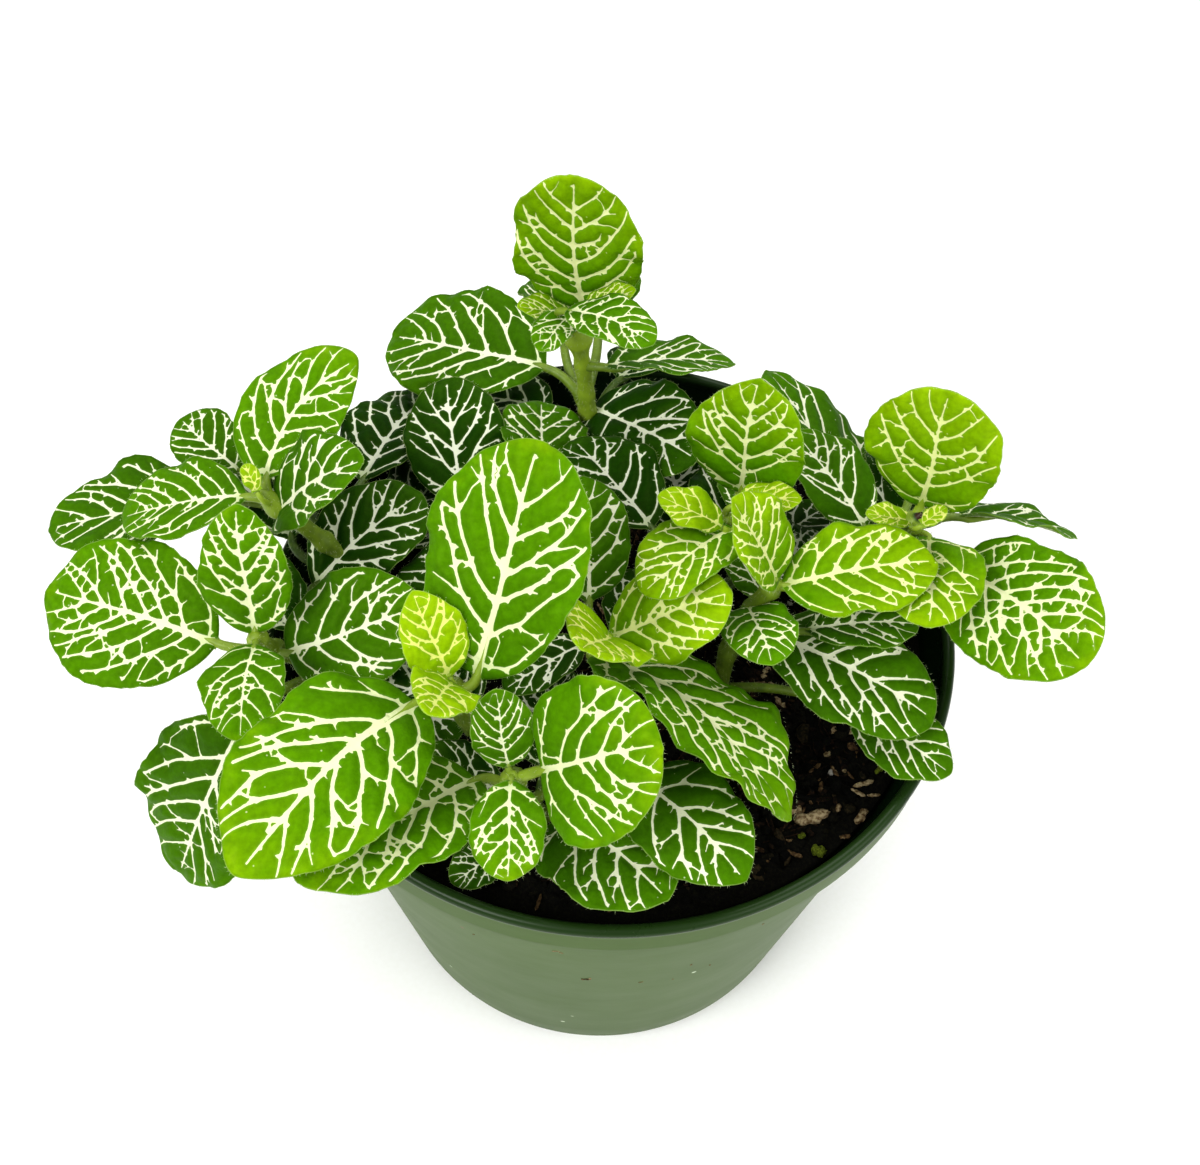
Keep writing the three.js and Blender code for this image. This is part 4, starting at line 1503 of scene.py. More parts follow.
STEMS = (
    LeafyStem(
        "stem_back",
        ((-5, 31, 72), (-5, 32, 86), (-5.5, 34, 104), (-7.5, 32, 124.5)),
        (
            Leaf(-6.5, 37, 120.5, 63, 98, -19, 30.5, 20.5, 4, 0.5, 0.22, age=Age.FRESH),
            Leaf(-8, 33, 124.5, -163, 29, -1, 10, 7, 10, 0.65, 0.3, age=Age.FRESH),
            Leaf(-6.5, 30, 128, 6, 34, 2, 9.5, 6.5, 10, 0.65, 0.3, age=Age.FRESH),
            Leaf(-8, 30.5, 127.5, -119, 10, -4, 10, 7, 20, 0.6, 0.5, age=Age.HALF_GROWN),
            Leaf(-8.5, 27.5, 131, -32, 21, 4, 16, 11, 30, 0.62, 0.3, age=Age.SMALL),
            Leaf(-13, 39, 107, 159, 0, 14, 32.5, 23.5, 25, 0.56, 0.2, age=Age.MATURE),
            Leaf(-2.5, 32, 115, 2, 12, 23, 21.5, 15, 15, 0.68, 0.3, age=Age.MATURE),
            Leaf(-4.5, 36, 100.5, -51, 28, -20, 26.5, 19.5, 25),
            Leaf(-12, 37, 98, 152, -6, 0, 22, 15.5, 25),
            Leaf(0, 44.5, 99.5, 55, -6, 17, 21, 15, 25),
            Leaf(-4, 45, 112, 95, 23, -15, 23, 16.5, 25, age=Age.MATURE),
            Leaf(2, 33, 90.5, 27, 2, 10, 20.5, 15, 25),
            Leaf(-10, 46.5, 106.5, 91, -5, -7, 24, 17, 25, age=Age.MATURE),
        ),
        stem_tones_and_shade=(0.1, 0.75),
    ),
    LeafyStem(
        "stem_left_back",
        ((-37, 5, 72), (-39, 5, 86), (-46, 4, 99), (-54.5, 2, 114.5)),
        (
            Leaf(-54, 4.5, 115, 88, 26, 0, 21.5, 16, 15, 0.62, 0.15, 62, age=Age.HALF_GROWN),
            Leaf(-54.5, 1, 116, 123, 47, 0, 4.5, 3, 10, 0.5, 0.4, age=Age.YOUNG),
            Leaf(-57, 2.5, 113, -178, -3, 3, 21.5, 15, 25, 0.6, age=Age.SMALL),
            Leaf(-52, 1, 111, -11, 57, -19, 21.5, 15.5, 25, 0.72, 0.55, age=Age.MATURE),
            Leaf(-61, 12.5, 107, 142, 15, 15, 15, 11, 20, 0.55, age=Age.MATURE),
            Leaf(-65.5, 13, 99, -166, 9, -5, 28.5, 20, 22, 0.6, age=Age.MATURE),
            Leaf(-54, 10, 105, 67, 34, -2, 11, 7.5, 20, 0.6),
            Leaf(-43, 18.5, 99, 70, 5, 13, 28, 20, 25, 0.6),
            Leaf(-48.5, -1, 95, 42, 28, -7, 23.5, 17, 25),
            Leaf(-54, 9, 94.5, 108, 8, 0, 24, 17, 28),
            Leaf(-52.5, 16, 101, 104, 18, -17, 21, 15, 25),
            Leaf(-36, 12.5, 95.5, 64, 4, 7, 22, 16, 25),
        ),
    ),
    LeafyStem(
        "stem_left_front",
        ((-39, -12, 72), (-41, -12.5, 86), (-51, -15.5, 97), (-53, -19.5, 107)),
        (
            Leaf(-53, -18.5, 106.5, 96, 70, 4, 21.5, 13.5, 8, 0.7, age=Age.HALF_GROWN),
            Leaf(-52.5, -21, 107, -88, 19, -1, 16.5, 12, 40, 0.6, 0.3, age=Age.SMALL),
            Leaf(-59.5, -18, 102.5, 166, 9, 24, 29.5, 23.5, 18, 0.62, 0.18, age=Age.FULL),
            Leaf(-49.5, -17.5, 100, 2, 32, -31, 24, 18, 22, age=Age.MATURE),
            Leaf(-55.5, -26.5, 93, -137, -45, 9, 34.5, 24.5, 25, 0.66, 0.2, age=Age.MATURE),
            Leaf(-37.5, -14.5, 90.5, -42, 19, -6, 20, 14.5, 25),
            Leaf(-50.5, -11, 96.5, 122, 22, -11, 16, 11.5, 25),
        ),
    ),
    LeafyStem(
        "stem_front_left",
        ((-17, -22, 72), (-18, -24, 86), (-21, -29, 102), (-22, -32.5, 117.5)),
        (
            Leaf(-22, -32, 118, 127, 58, 4, 13.5, 9.5, 10, 0.75, 0.35, age=Age.YOUNG),
            Leaf(-21.5, -33, 118, -95, 47, 22, 13.5, 9.5, 15, 0.7, 0.4, age=Age.YOUNG),
            Leaf(-18.5, -31.5, 117, 69, 57, 5, 34.5, 23.5, 15, 0.52, 0.22, age=Age.BRIGHT),
            Leaf(-26.5, -33, 113, -128, 22, 9, 35, 23.5, 36, 0.7, 0.18, -10, age=Age.BRIGHT),
            Leaf(-25, -25, 100, 160, 5, 0, 20, 14, 25),
            Leaf(-20.5, -19.5, 90.5, 127, 12, 15, 14, 10, 25),
        ),
    ),
    LeafyStem(
        "stem_front",
        ((-10, -36, 72), (-10, -37, 86), (-12, -40, 98), (-13, -41.5, 108.5)),
        (
            Leaf(-13.5, -40.5, 109, 108, 62, 6, 12, 9, 10, 0.6, 0.3, age=Age.SMALL),
            Leaf(-13, -42.5, 108.5, -90, 2, -1, 14, 10.5, 50, 0.6, 0.3, age=Age.HALF_GROWN),
            Leaf(-9, -42, 111, -40, 58, -56, 23, 22, 44, 0.5, 0.32, age=Age.BRIGHT),
            Leaf(-18, -39, 102.5, -140, 26, -7, 30.5, 20.5, 28, 0.62, 0.22, age=Age.FULL),
            Leaf(-6.5, -38, 89, -50, 41, -4, 27.5, 19.5, 25, 0.64, age=Age.MATURE),
            Leaf(4.5, -37, 102, -48, 13, -7, 22.5, 16, 22, 0.7, age=Age.MATURE),
            Leaf(-15, -43, 87.5, -140, 8, 3, 9, 7, 10, 0.6),
            Leaf(-9.5, -30.5, 91, 89, 12, 23, 18, 13, 25),
            Leaf(-15.5, -36, 92.5, 158, 29, -15, 13.5, 10, 25),
        ),
    ),
    LeafyStem(
        "stem_middle",
        ((-1, -12, 72), (-1, -13, 86), (-0.5, -17, 100), (0, -20, 112)),
        (
            Leaf(0, -19.5, 111, 4, 36, -21, 19.5, 14.5, 15, 0.62, age=Age.FRESH),
            Leaf(0, -20.5, 112.5, -103, 56, 26, 20, 14.5, 15, 0.68, 0.5, age=Age.YOUNG),
            Leaf(-2.5, -19, 105.5, -25, 16, 40, 39.5, 28, 50, 0.7, 0.2, age=Age.FULL),
            Leaf(-3.5, -8, 103.5, 92, 36, -16, 20.5, 14, 25, 0.6, age=Age.MATURE),
            Leaf(-4, -13, 99, -151, 2, -8, 14.5, 10, 25, 0.6),
            Leaf(3, -12, 96, 75, 10, 0, 18, 13, 25, 0.6),
        ),
        dried_tip=True,
    ),
    LeafyStem(
        "stem_middle_back",
        ((-18, 9, 72), (-18, 9, 86), (-18.5, 9.5, 96), (-19, 10, 103)),
        (
            Leaf(-25.5, 14, 99, 101, 29, 7, 23.5, 17, 20, 0.6),
            Leaf(-11.5, 15.5, 104.5, 94, 5, -10, 19.5, 15, 20, 0.55, age=Age.MATURE),
            Leaf(-20, 4, 97, -150, 5, 0, 18, 13, 25, 0.6),
            Leaf(-17.5, 15, 91, 94, -2, 7, 18.5, 13.5, 25),
            Leaf(-29, 12, 91, 149, 0, -10, 18.5, 13.5, 25),
        ),
    ),
    LeafyStem(
        "stem_right_back",
        ((14, 1, 72), (14, 1, 86), (15, -1, 104), (16.5, -4, 120)),
        (
            Leaf(19, 5, 116, 74, 92, 2, 23, 18, 12, 0.72, age=Age.FRESH),
            Leaf(15.5, -6.5, 121.5, 164, 25, 0, 10.5, 7.5, 15, 0.65, 0.35, age=Age.YOUNG),
            Leaf(17.5, -1.5, 120.5, 0, 20, 4, 10, 7, 15, 0.65, 0.35, age=Age.YOUNG),
            Leaf(17.5, -6, 120.5, -143, 17, -9, 18, 13, 45, 0.55, 0.3, age=Age.FRESH),
            Leaf(6, 5.5, 105.5, 127, 18, -3, 22, 16, 30, 0.6),
            Leaf(17, 6, 101, 70, 12, 0, 24, 17, 25, 0.6),
            Leaf(20, 2, 98, 30, 5, 0, 20, 14, 25, 0.6),
            Leaf(23.5, 10, 90.5, 49, 4, 9, 23, 16.5, 25),
            Leaf(12, 14.5, 92, 102, 28, -2, 24.5, 17.5, 25),
            Leaf(20.5, 6.5, 108, 75, 3, 9, 19, 13.5, 25, age=Age.MATURE),
        ),
    ),
    LeafyStem(
        "stem_right_front",
        ((18, -13, 72), (18, -13, 86), (19.5, -11.5, 103), (24.5, -10.5, 114.5)),
        (
            Leaf(24, -11.5, 115.5, 163, 66, 9, 17.5, 12.5, 10, 0.65, 0.6, age=Age.FRESH),
            Leaf(25, -11, 114, 4, 20, -4, 23, 16, 18, 0.64, age=Age.FRESH),
            Leaf(20.5, -11.5, 109, -82, 36, -6, 15.5, 11, 30, 0.55, 0.3, age=Age.SMALL),
            Leaf(24.5, -4.5, 101, 126, 28, -1, 11, 7.5, 20, 0.6, age=Age.MATURE),
            Leaf(24.5, -11.5, 102.5, -29, 7, -3, 28.5, 19.5, 28, 0.62, age=Age.MATURE),
            Leaf(29.5, -13.5, 106.5, 4, 14, 12, 17, 11.5, 20, 0.6, age=Age.MATURE),
            Leaf(38, -20.5, 94.5, -34, 4, 1, 17.5, 13, 12, 0.64, age=Age.MATURE),
        ),
    ),
    LeafyStem(
        "stem_right",
        ((37, 3, 72), (38, 3, 86), (42, 2.5, 104), (46, 0.5, 118)),
        (
            Leaf(46, 2, 118, 56, 99, -9, 25.5, 19.5, 12, 0.5, 0.22, age=Age.FRESH),
            Leaf(48, -0.5, 113.5, -100, 25, -7, 18.5, 16, 40, 0.56, age=Age.FRESH),
            Leaf(53.5, 0.5, 107, -67, 29, -30, 29.5, 21, 30, 0.52, 0.2, age=Age.FULL),
            Leaf(54, 6.5, 111, -4, 13, 38, 18.5, 13, 30, 0.72, 0.3, age=Age.MATURE),
            Leaf(45, 0.5, 116, -180, 16, -4, 7.5, 5, 10, 0.6, 0.4, age=Age.YOUNG),
            Leaf(45.5, -2.5, 119, 24, 37, -3, 4.5, 3, 10, 0.6, 0.4, age=Age.YOUNG),
            Leaf(41.5, 10, 101.5, 118, 28, -31, 32.5, 22.5, 20, 0.72, 0.2, age=Age.MATURE),
            Leaf(39.5, 5, 108.5, 128, 30, -2, 19, 13, 20, 0.6, age=Age.MATURE),
            Leaf(47, 9, 104, 78, 15, 0, 24, 17, 30, 0.6),
            Leaf(52, -4, 103, 5, -5, 0, 22, 16, 30, 0.6),
            Leaf(45, 15.5, 93.5, 84, 14, -5, 21.5, 15.5, 25),
            Leaf(47.5, 12, 109, 72, 28, -15, 19.5, 14, 25, age=Age.MATURE),
            Leaf(48, 12.5, 98.5, 59, 21, 20, 22, 16, 25),
        ),
        dried_tip=True,
    ),
)


# Pot


@dataclass(frozen=True)
class WallMark:
    """A speck of dried mix or lime on the outside of the pot.

    Its place as a compass turn in degrees and a height; its length and width; the angle of
    its length from level; and its shade from brown to white.
    """

    turn: float
    z: float
    length: float
    width: float
    lean: float
    shade: float


@dataclass
class NurseryPot:
    """The thin-walled pot, with its sizes as in the CAD.

    A foot row is the height of one ring of a foot or of the pad, and how far it is drawn in.
    """

    rim_radius: float = 57.0
    height: float = 91.0
    base_radius: float = 42.5
    band_height: float = 8.0
    band_step: float = 1.6
    band_shoulder: float = 1.2
    wall: float = 1.3
    lip: float = 1.0
    floor_z: float = 2.0
    floor_top: float = 3.8
    cove: float = 3.0
    sole_width: float = 8.0
    sides: int = 192
    foot_count: int = 10
    foot_arc: float = 18.0
    foot_width: float = 4.5
    foot_turn: float = -88.0
    foot_rows: tuple[tuple[float, float], ...] = ((2.8, 0.0), (0.35, 0.0), (0.08, 0.1), (0.0, 0.35))
    pad_radius: float = 13.0
    drain_count: int = 5
    drain_radius: float = 4.0
    drain_ring: float = 27.0
    speck_height: float = 0.2
    marks: tuple["WallMark", ...] = (
        WallMark(-91.6, 56.0, 1.7, 0.8, 10, 0.35),
        WallMark(-90.9, 56.5, 0.8, 0.5, 80, 0.95),
        WallMark(-92.2, 55.4, 0.6, 0.45, 30, 0.95),
        WallMark(-96.8, 73.0, 1.6, 0.22, 25, 0.9),
        WallMark(-96.0, 72.4, 0.9, 0.2, -30, 0.9),
        WallMark(-100.7, 80.1, 0.7, 0.3, 80, 1.0),
        WallMark(-83.9, 83.4, 0.8, 0.25, -15, 1.0),
        WallMark(-72.1, 59.2, 0.7, 0.25, 60, 0.75),
        WallMark(-67.5, 54.0, 0.6, 0.3, 100, 0.75),
        WallMark(-81.1, 52.9, 0.9, 0.2, 15, 0.75),
        WallMark(-74.6, 51.0, 0.5, 0.25, 120, 0.75),
        WallMark(-112.0, 68.0, 0.6, 0.25, 50, 0.8),
        WallMark(-60.0, 70.0, 0.5, 0.25, 20, 0.8),
    )

    def wall_radius(self, z: float) -> float:
        """Gives the outside radius of the tapered wall.

        Args:
            z: The height.

        Returns:
            The radius there.
        """
        top = self.rim_radius - self.lip - self.band_step
        share = (z - self.floor_z) / (self.height - self.band_height - self.floor_z)
        return self.base_radius + (top - self.base_radius) * share

    def profile(self) -> list[tuple[float, float, float]]:
        """Gives the turned section, from the middle of its underside to that of its floor.

        Returns:
            For each point its radius, its height and how much painted shade it gets, most inside the pot.
        """
        foot = self.height - self.band_height
        band = self.rim_radius - self.lip / 2
        step = foot - self.band_shoulder
        lip_foot = self.height - 2 * self.lip
        low = self.floor_z
        rows = [(0.0, low, 0.0), (self.base_radius - self.sole_width, low, 0.0)]
        for turn in np.radians(np.linspace(-90, -8, 8)):
            inwards, up = self.cove * (1 - math.cos(turn)), self.cove * (1 + math.sin(turn))
            rows.append((self.base_radius - inwards, low + up, 0.0))
        rows += [(self.wall_radius(z), z, 0.0) for z in np.linspace(low + self.cove + 1, step, 14)]
        start = self.wall_radius(step)
        for share in np.linspace(0.1, 1, 7):
            ease = share * share * (3 - 2 * share)
            rows.append((start + (band - start) * ease, step + 1.6 * self.band_shoulder * share, 0.0))
        rows += [(band, z, 0.0) for z in np.linspace(foot + 1.5, lip_foot, 5)]
        # painted shade: a dark line under the lip, the lip darker and the inside wall darkest
        rows.append((band + 0.12, lip_foot + 0.35, 0.35))
        for turn in np.radians(np.linspace(-40, 200, 16)):
            out, up = self.lip * math.cos(turn), self.lip * math.sin(turn)
            rows.append((self.rim_radius - self.lip + out, self.height - self.lip + up, 0.8))
        rows += [(band - self.wall, lip_foot - 0.2, 1.0), (band - self.wall, foot + 1.2, 1.0)]
        for z in np.linspace(step, self.floor_top + self.cove, 10):
            rows.append((self.wall_radius(z) - self.wall, z, 1.0))
        corner = self.base_radius - self.wall - self.cove
        return rows + [(corner, self.floor_top, 1.0), (0.0, self.floor_top, 1.0)]

    def build(self, material: Material, dried: Material) -> None:
        """Makes the pot with its feet, middle pad, drainage holes and marks.

        Args:
            material: The pot's material.
            dried: Material of the specks on its wall.
        """
        (_, low, _), *rows, (_, high, _) = self.profile()
        turns = full_turn(self.sides)
        rings = [circle(radius, z, turns) for radius, z, _ in rows]
        points, faces = closed_skin(rings, [[0, 0, low], [0, 0, high]])
        inside = np.concatenate([np.repeat([painted_shade for _, _, painted_shade in rows], self.sides), [0.0, 1.0]])
        pot = make_object("pot_shell", points, faces, material, {"inside": inside})
        self._cut_drains(pot)
        hand_over((pot, self._feet(material), self._pad(material), self._wall_marks(dried)), "pot")

    def _pad(self, material: Material) -> Piece:
        """Makes the round pad in the middle of the foot.

        Args:
            material: The pot's material.

        Returns:
            The pad.
        """
        turns = full_turn(64)
        rings = [circle(self.pad_radius - shrink, z, turns) for z, shrink in self.foot_rows]
        n = len(turns)
        ends = [tuple(range(n)), tuple(range(4 * n - 1, 3 * n - 1, -1))]
        return self._block("pot_pad", rings, ends, material)

    def _block(
        self, name: str, rings: list[Array], ends: list[tuple[int, ...]], material: Material
    ) -> Piece:
        """Makes a block of the base from its rings, the highest first, and its end faces.

        Args:
            name: The object's name.
            rings: Loops of points.
            ends: Faces that close the first ring and the last one.
            material: The pot's material.

        Returns:
            The block.
        """
        n = len(rings[0])
        for k in range(0, (len(rings) - 1) * n, n):
            ends += [(k + i, k + n + i, k + n + (i + 1) % n, k + (i + 1) % n) for i in range(n)]
        points = np.concatenate(rings)
        return make_object(name, points, ends, material, {"inside": np.zeros(len(points))})

    def _wall_marks(self, dried: Material) -> Piece:
        """Makes the specks that stick to the wall.

        Args:
            dried: Their material.

        Returns:
            The specks as one object.
        """
        specks = Sheet()
        for i, mark in enumerate(self.marks):
            turn, lean = math.radians(mark.turn), math.radians(mark.lean)
            out = np.array([math.cos(turn), math.sin(turn), 0.0])
            level = np.array([-math.sin(turn), math.cos(turn), 0.0])
            lead = level * math.cos(lean) + np.array([0, 0, math.sin(lean)])
            middle = out * self.wall_radius(mark.z) + [0, 0, mark.z]
            size = (mark.length, mark.width, self.speck_height)
            specks.take(*splinter(middle, lead, out, size, i), {"grain": mark.shade})
        return specks.build("wall_specks", dried)

    def _cut_drains(self, pot: Piece) -> None:
        """Cuts the drainage holes through the floor.

        Args:
            pot: The pot's shell.
        """
        plugs = Sheet()
        for turn in full_turn(self.drain_count) + math.pi / self.drain_count:
            line = self.drain_ring * np.array([[math.cos(turn), math.sin(turn), 0.0]] * 2)
            line[1, 2] = 2 * self.floor_top
            plugs.take(*tube(line, np.full(2, self.drain_radius), 32), {})
        cutter = plugs.build("drain_cutter")
        modifier = pot.modifiers.new("drains", "BOOLEAN")
        modifier.operation, modifier.solver, modifier.object = "DIFFERENCE", "EXACT", cutter
        settle(pot)
        bpy.data.objects.remove(cutter)

    def _feet(self, material: Material) -> Piece:
        """Makes the ring of feet by a Geometry Nodes tree.

        Args:
            material: The pot's material.

        Returns:
            The feet as one object.
        """
        put, given = new_tree("pot_feet", ("Count", "Turn"))
        number = put("GeometryNodeInputIndex")
        share = put("ShaderNodeMath", {0: number, 1: given["Count"]}, operation="DIVIDE")
        around = {0: share, 1: 2 * math.pi, 2: given["Turn"]}
        spin = put("ShaderNodeCombineXYZ", {2: put("ShaderNodeMath", around, operation="MULTIPLY_ADD")})
        places = put("GeometryNodePoints", {"Count": given["Count"]})
        stand = {"Points": places, "Instance": given["Geometry"], "Rotation": spin}
        close_tree(put, put("GeometryNodeInstanceOnPoints", stand), material)
        piece = self._foot(material)
        run_tree(piece, "pot_feet", {"Count": self.foot_count, "Turn": math.radians(self.foot_turn)})
        return piece

    def _foot(self, material: Material) -> Piece:
        """Makes one foot on the +X side, a rounded block of the base ring.

        Args:
            material: The pot's material.

        Returns:
            The foot.
        """
        outer = self.base_radius - self.cove / 2
        inner = outer - self.foot_width
        turns = np.radians(np.linspace(-self.foot_arc / 2, self.foot_arc / 2, 9))
        rings = [
            np.concatenate([circle(outer - shrink, z, turns), circle(inner + shrink, z, turns[::-1])])
            for z, shrink in self.foot_rows
        ]
        n = len(rings[0])
        low = (len(rings) - 1) * n
        ends = []
        for i in range(len(turns) - 1):
            ends.append((low + i, low + n - 1 - i, low + n - 2 - i, low + i + 1))
            ends.append((i, i + 1, n - 2 - i, n - 1 - i))
        return self._block("pot_feet", rings, ends, material)


# Potting mix


@dataclass(frozen=True)
class Chip:
    """A chip that can be told apart on the mix: place, length, width, heading, shade."""

    x: float
    y: float
    length: float
    width: float
    heading: float
    shade: float


@dataclass
class PottingMix:
    """Peat with bark, fibres and perlite, filled to below the lip.

    The surface has a dome, broad and narrow waves, and crumbs whose size is the inverse of
    their scale; it sinks a little below the CAD's to make room for them.
    """

    pot: NurseryPot
    level: float = 84.0
    edge_level: float = 82.0
    gap: float = 0.3
    sinking: float = 0.3
    crumb_scale: float = 0.4
    body_shade: float = 0.3
    chip_lift: float = 0.35
    dome: float = 1.2
    lumps: float = 1.1
    broad_wave: float = 0.21
    narrow_wave: float = 0.43
    rings: int = 110
    sides: int = 260
    chips: tuple[Chip, ...] = (
        Chip(32.3, -34.3, 5.8, 2.2, 20, 0.95),
        Chip(40.3, -33.2, 3.3, 1.4, 54, 0.8),
        Chip(41.0, -27.6, 3.6, 0.9, 20, 0.95),
        Chip(40.0, -29.2, 2.6, 0.8, -30, 0.9),
        Chip(42.5, -29.4, 2.2, 0.6, 5, 0.95),
        Chip(36.6, -32.2, 1.5, 0.9, 70, 0.75),
        Chip(27.5, -10.5, 3.2, 1.5, -35, 0.95),
        Chip(26.1, -8.3, 2.6, 1.3, 60, 1.0),
        Chip(28.4, -12.8, 2.8, 1.1, -50, 0.9),
        Chip(25.0, -10.6, 2.4, 1.0, 15, 0.8),
        Chip(35.6, -22.5, 1.3, 0.9, 30, 0.9),
        Chip(33.4, -25.3, 2.6, 0.7, 40, 0.6),
        Chip(36.4, -25.9, 2.2, 0.7, -60, 0.65),
        Chip(34.0, -29.0, 2.0, 0.7, 80, 0.55),
        Chip(37.5, -36.8, 1.8, 0.8, 10, 0.6),
        Chip(29.4, -40.3, 2.6, 0.8, -20, 0.6),
        Chip(4.5, -49.6, 2.4, 1.0, 30, 0.6),
        Chip(1.0, -50.2, 2.0, 0.8, -25, 0.7),
        Chip(-9.0, -49.8, 2.8, 0.6, 75, 0.55),
    )
    moss: tuple[Chip, ...] = (
        Chip(33.2, -39.4, 2.2, 2.0, 0, 0.35),
        Chip(44.0, -24.6, 3.0, 1.0, 50, 0.4),
        Chip(30.6, -37.4, 1.3, 1.0, 40, 0.3),
    )

    @property
    def brim(self) -> float:
        """Gives the radius of the surface at the pot's wall."""
        return self.pot.wall_radius(self.edge_level) - self.pot.wall - self.gap

    def height(self, x: Array, y: Array) -> Array:
        """Gives the height of the mix's surface, as in the CAD.

        Args:
            x: Places along X.
            y: Places along Y.

        Returns:
            The height at each place.
        """
        calm = 1 - (np.hypot(x, y) / self.pot.wall_radius(self.level)) ** 4
        broad = np.sin(x * self.broad_wave + 1.3) * np.cos(y * 0.8 * self.broad_wave - 0.6)
        narrow = 0.6 * np.sin(x * self.narrow_wave - y * 0.9 * self.narrow_wave)
        return self.level + calm * (self.dome + self.lumps * (broad + narrow))

    def build(self, shaded_peat: Material, bark: Material, perlite: Material, moss: Material) -> None:
        """Makes the body of the mix and the crumbs, chips and grains that lie on it.

        Args:
            shaded_peat: Material of the body and the crumbs.
            bark: Material of the chips and fibres.
            perlite: Material of the white grains.
            moss: Material of the green tufts.
        """
        pieces = (
            self._body(shaded_peat),
            self._scatter("peat_crumbs", shaded_peat, 0.6, (0.3, 1.5), (1.0, 0.8, 0.7), 1, 5),
            self._scatter("bark_chips", bark, 0.22, (0.35, 1.5), (1.7, 0.7, 0.4), 1, 8),
            self._scatter("bark_fibres", bark, 0.16, (0.3, 0.9), (4.2, 0.3, 0.28), 1, 21),
            self._scatter("perlite_grains", perlite, 0.003, (0.5, 1.1), (1.0, 0.9, 0.8), 2, 13),
            self._lay("large_chips", self.chips, bark),
            self._lay("moss_tufts", self.moss, moss),
        )
        hand_over(pieces, "potting_mix")

    def _body(self, shaded_peat: Material) -> Piece:
        """Makes the body of the mix, with a rough surface.

        Args:
            shaded_peat: Its material.

        Returns:
            The body.
        """
        pot, brim = self.pot, self.brim
        turns = full_turn(self.sides)
        low, foot = pot.floor_top + self.gap, pot.floor_top + pot.cove
        rings = [
            circle(pot.base_radius - pot.wall - pot.cove - self.gap, low, turns),
            circle(pot.wall_radius(foot) - pot.wall - self.gap, foot, turns),
        ]
        for r in brim * (np.arange(self.rings, 0, -1) / self.rings):
            ring = circle(r, 0.0, turns)
            places = ring * self.crumb_scale + [0, 0, 3.1]
            rough = np.array([noise.fractal(Vector(place), 0.5, 2.1, 5) for place in places])
            calm = np.clip((brim - r) / 1.5, 0, 1)
            ring[:, 2] = self.height(ring[:, 0], ring[:, 1]) + rough * calm - self.sinking
            rings.append(ring)
        top = float(self.height(np.array(0.0), np.array(0.0)))
        points, faces = closed_skin(rings, [[0, 0, low], [0, 0, top]])
        # the peat's near-black colours stand in for the shade under the leaves
        shade = {"grain": np.full(len(points), self.body_shade)}
        return make_object("potting_mix_body", points, faces, shaded_peat, shade)

    def _lay(self, name: str, chips: Sequence[Chip], material: Material) -> Piece:
        """Lays the chips that can be told apart on the surface.

        Args:
            name: The new object's name.
            chips: The chips.
            material: Their material.

        Returns:
            The chips as one object.
        """
        sheet = Sheet()
        up = np.array([0.0, 0.0, 1.0])
        for i, chip in enumerate(chips):
            turn = math.radians(chip.heading)
            lead = np.array([math.cos(turn), math.sin(turn), 0.0])
            middle = np.array([chip.x, chip.y, self.height(chip.x, chip.y) + self.chip_lift])
            size = (chip.length, chip.width, 0.6 * chip.width)
            sheet.take(*splinter(middle, lead, up, size, 40 + i), {"grain": chip.shade})
        return sheet.build(name, material)

    def _scatter(
        self,
        name: str,
        material: Material,
        per_square_mm: float,
        radii: tuple[float, float],
        shape: tuple[float, float, float],
        fineness: int,
        seed: int,
    ) -> Piece:
        """Scatters lumps of one kind over the surface by a Geometry Nodes tree.

        Args:
            name: The new object's name.
            material: Their material.
            per_square_mm: How many lie on a square millimetre.
            radii: Smallest and largest radius of a lump.
            shape: Its length, width and height as parts of that.
            fineness: Subdivision of a lump, 1 for 20 faces and 2 for 80.
            seed: Seed of their places and sizes.

        Returns:
            The lumps as one object.
        """
        put, given = new_tree(name, ("Per square metre", "Smallest", "Largest"))
        spread = put(
            "GeometryNodeDistributePointsOnFaces",
            {"Mesh": given["Geometry"], "Density": given["Per square metre"], "Seed": seed},
        )
        # a ball with dents, pulled to its shape
        ball = put("GeometryNodeMeshIcoSphere", {"Radius": 1.0, "Subdivisions": fineness})
        place = put("GeometryNodeInputPosition")
        dents = put("ShaderNodeTexNoise", {"Vector": place, "Scale": 1.3, "Detail": 3.0}).outputs["Color"]
        moved = put(
            "ShaderNodeVectorMath",
            {0: dents, 1: (1.3, 1.3, 1.3), 2: (-0.65, -0.65, -0.65)},
            operation="MULTIPLY_ADD",
        )
        lump = put("GeometryNodeSetPosition", {"Geometry": ball, "Offset": moved})
        lump = put("GeometryNodeTransform", {"Geometry": lump, "Scale": shape})
        spin, build = (
            put("FunctionNodeRandomValue", {0: low, 1: high, "Seed": number}, data_type="FLOAT_VECTOR")
            for low, high, number in (
                ((-0.6, -0.6, 0.0), (0.6, 0.6, 6.28), seed + 1),
                ((0.5, 0.5, 0.5), (1.5, 1.4, 1.2), seed + 4),
            )
        )
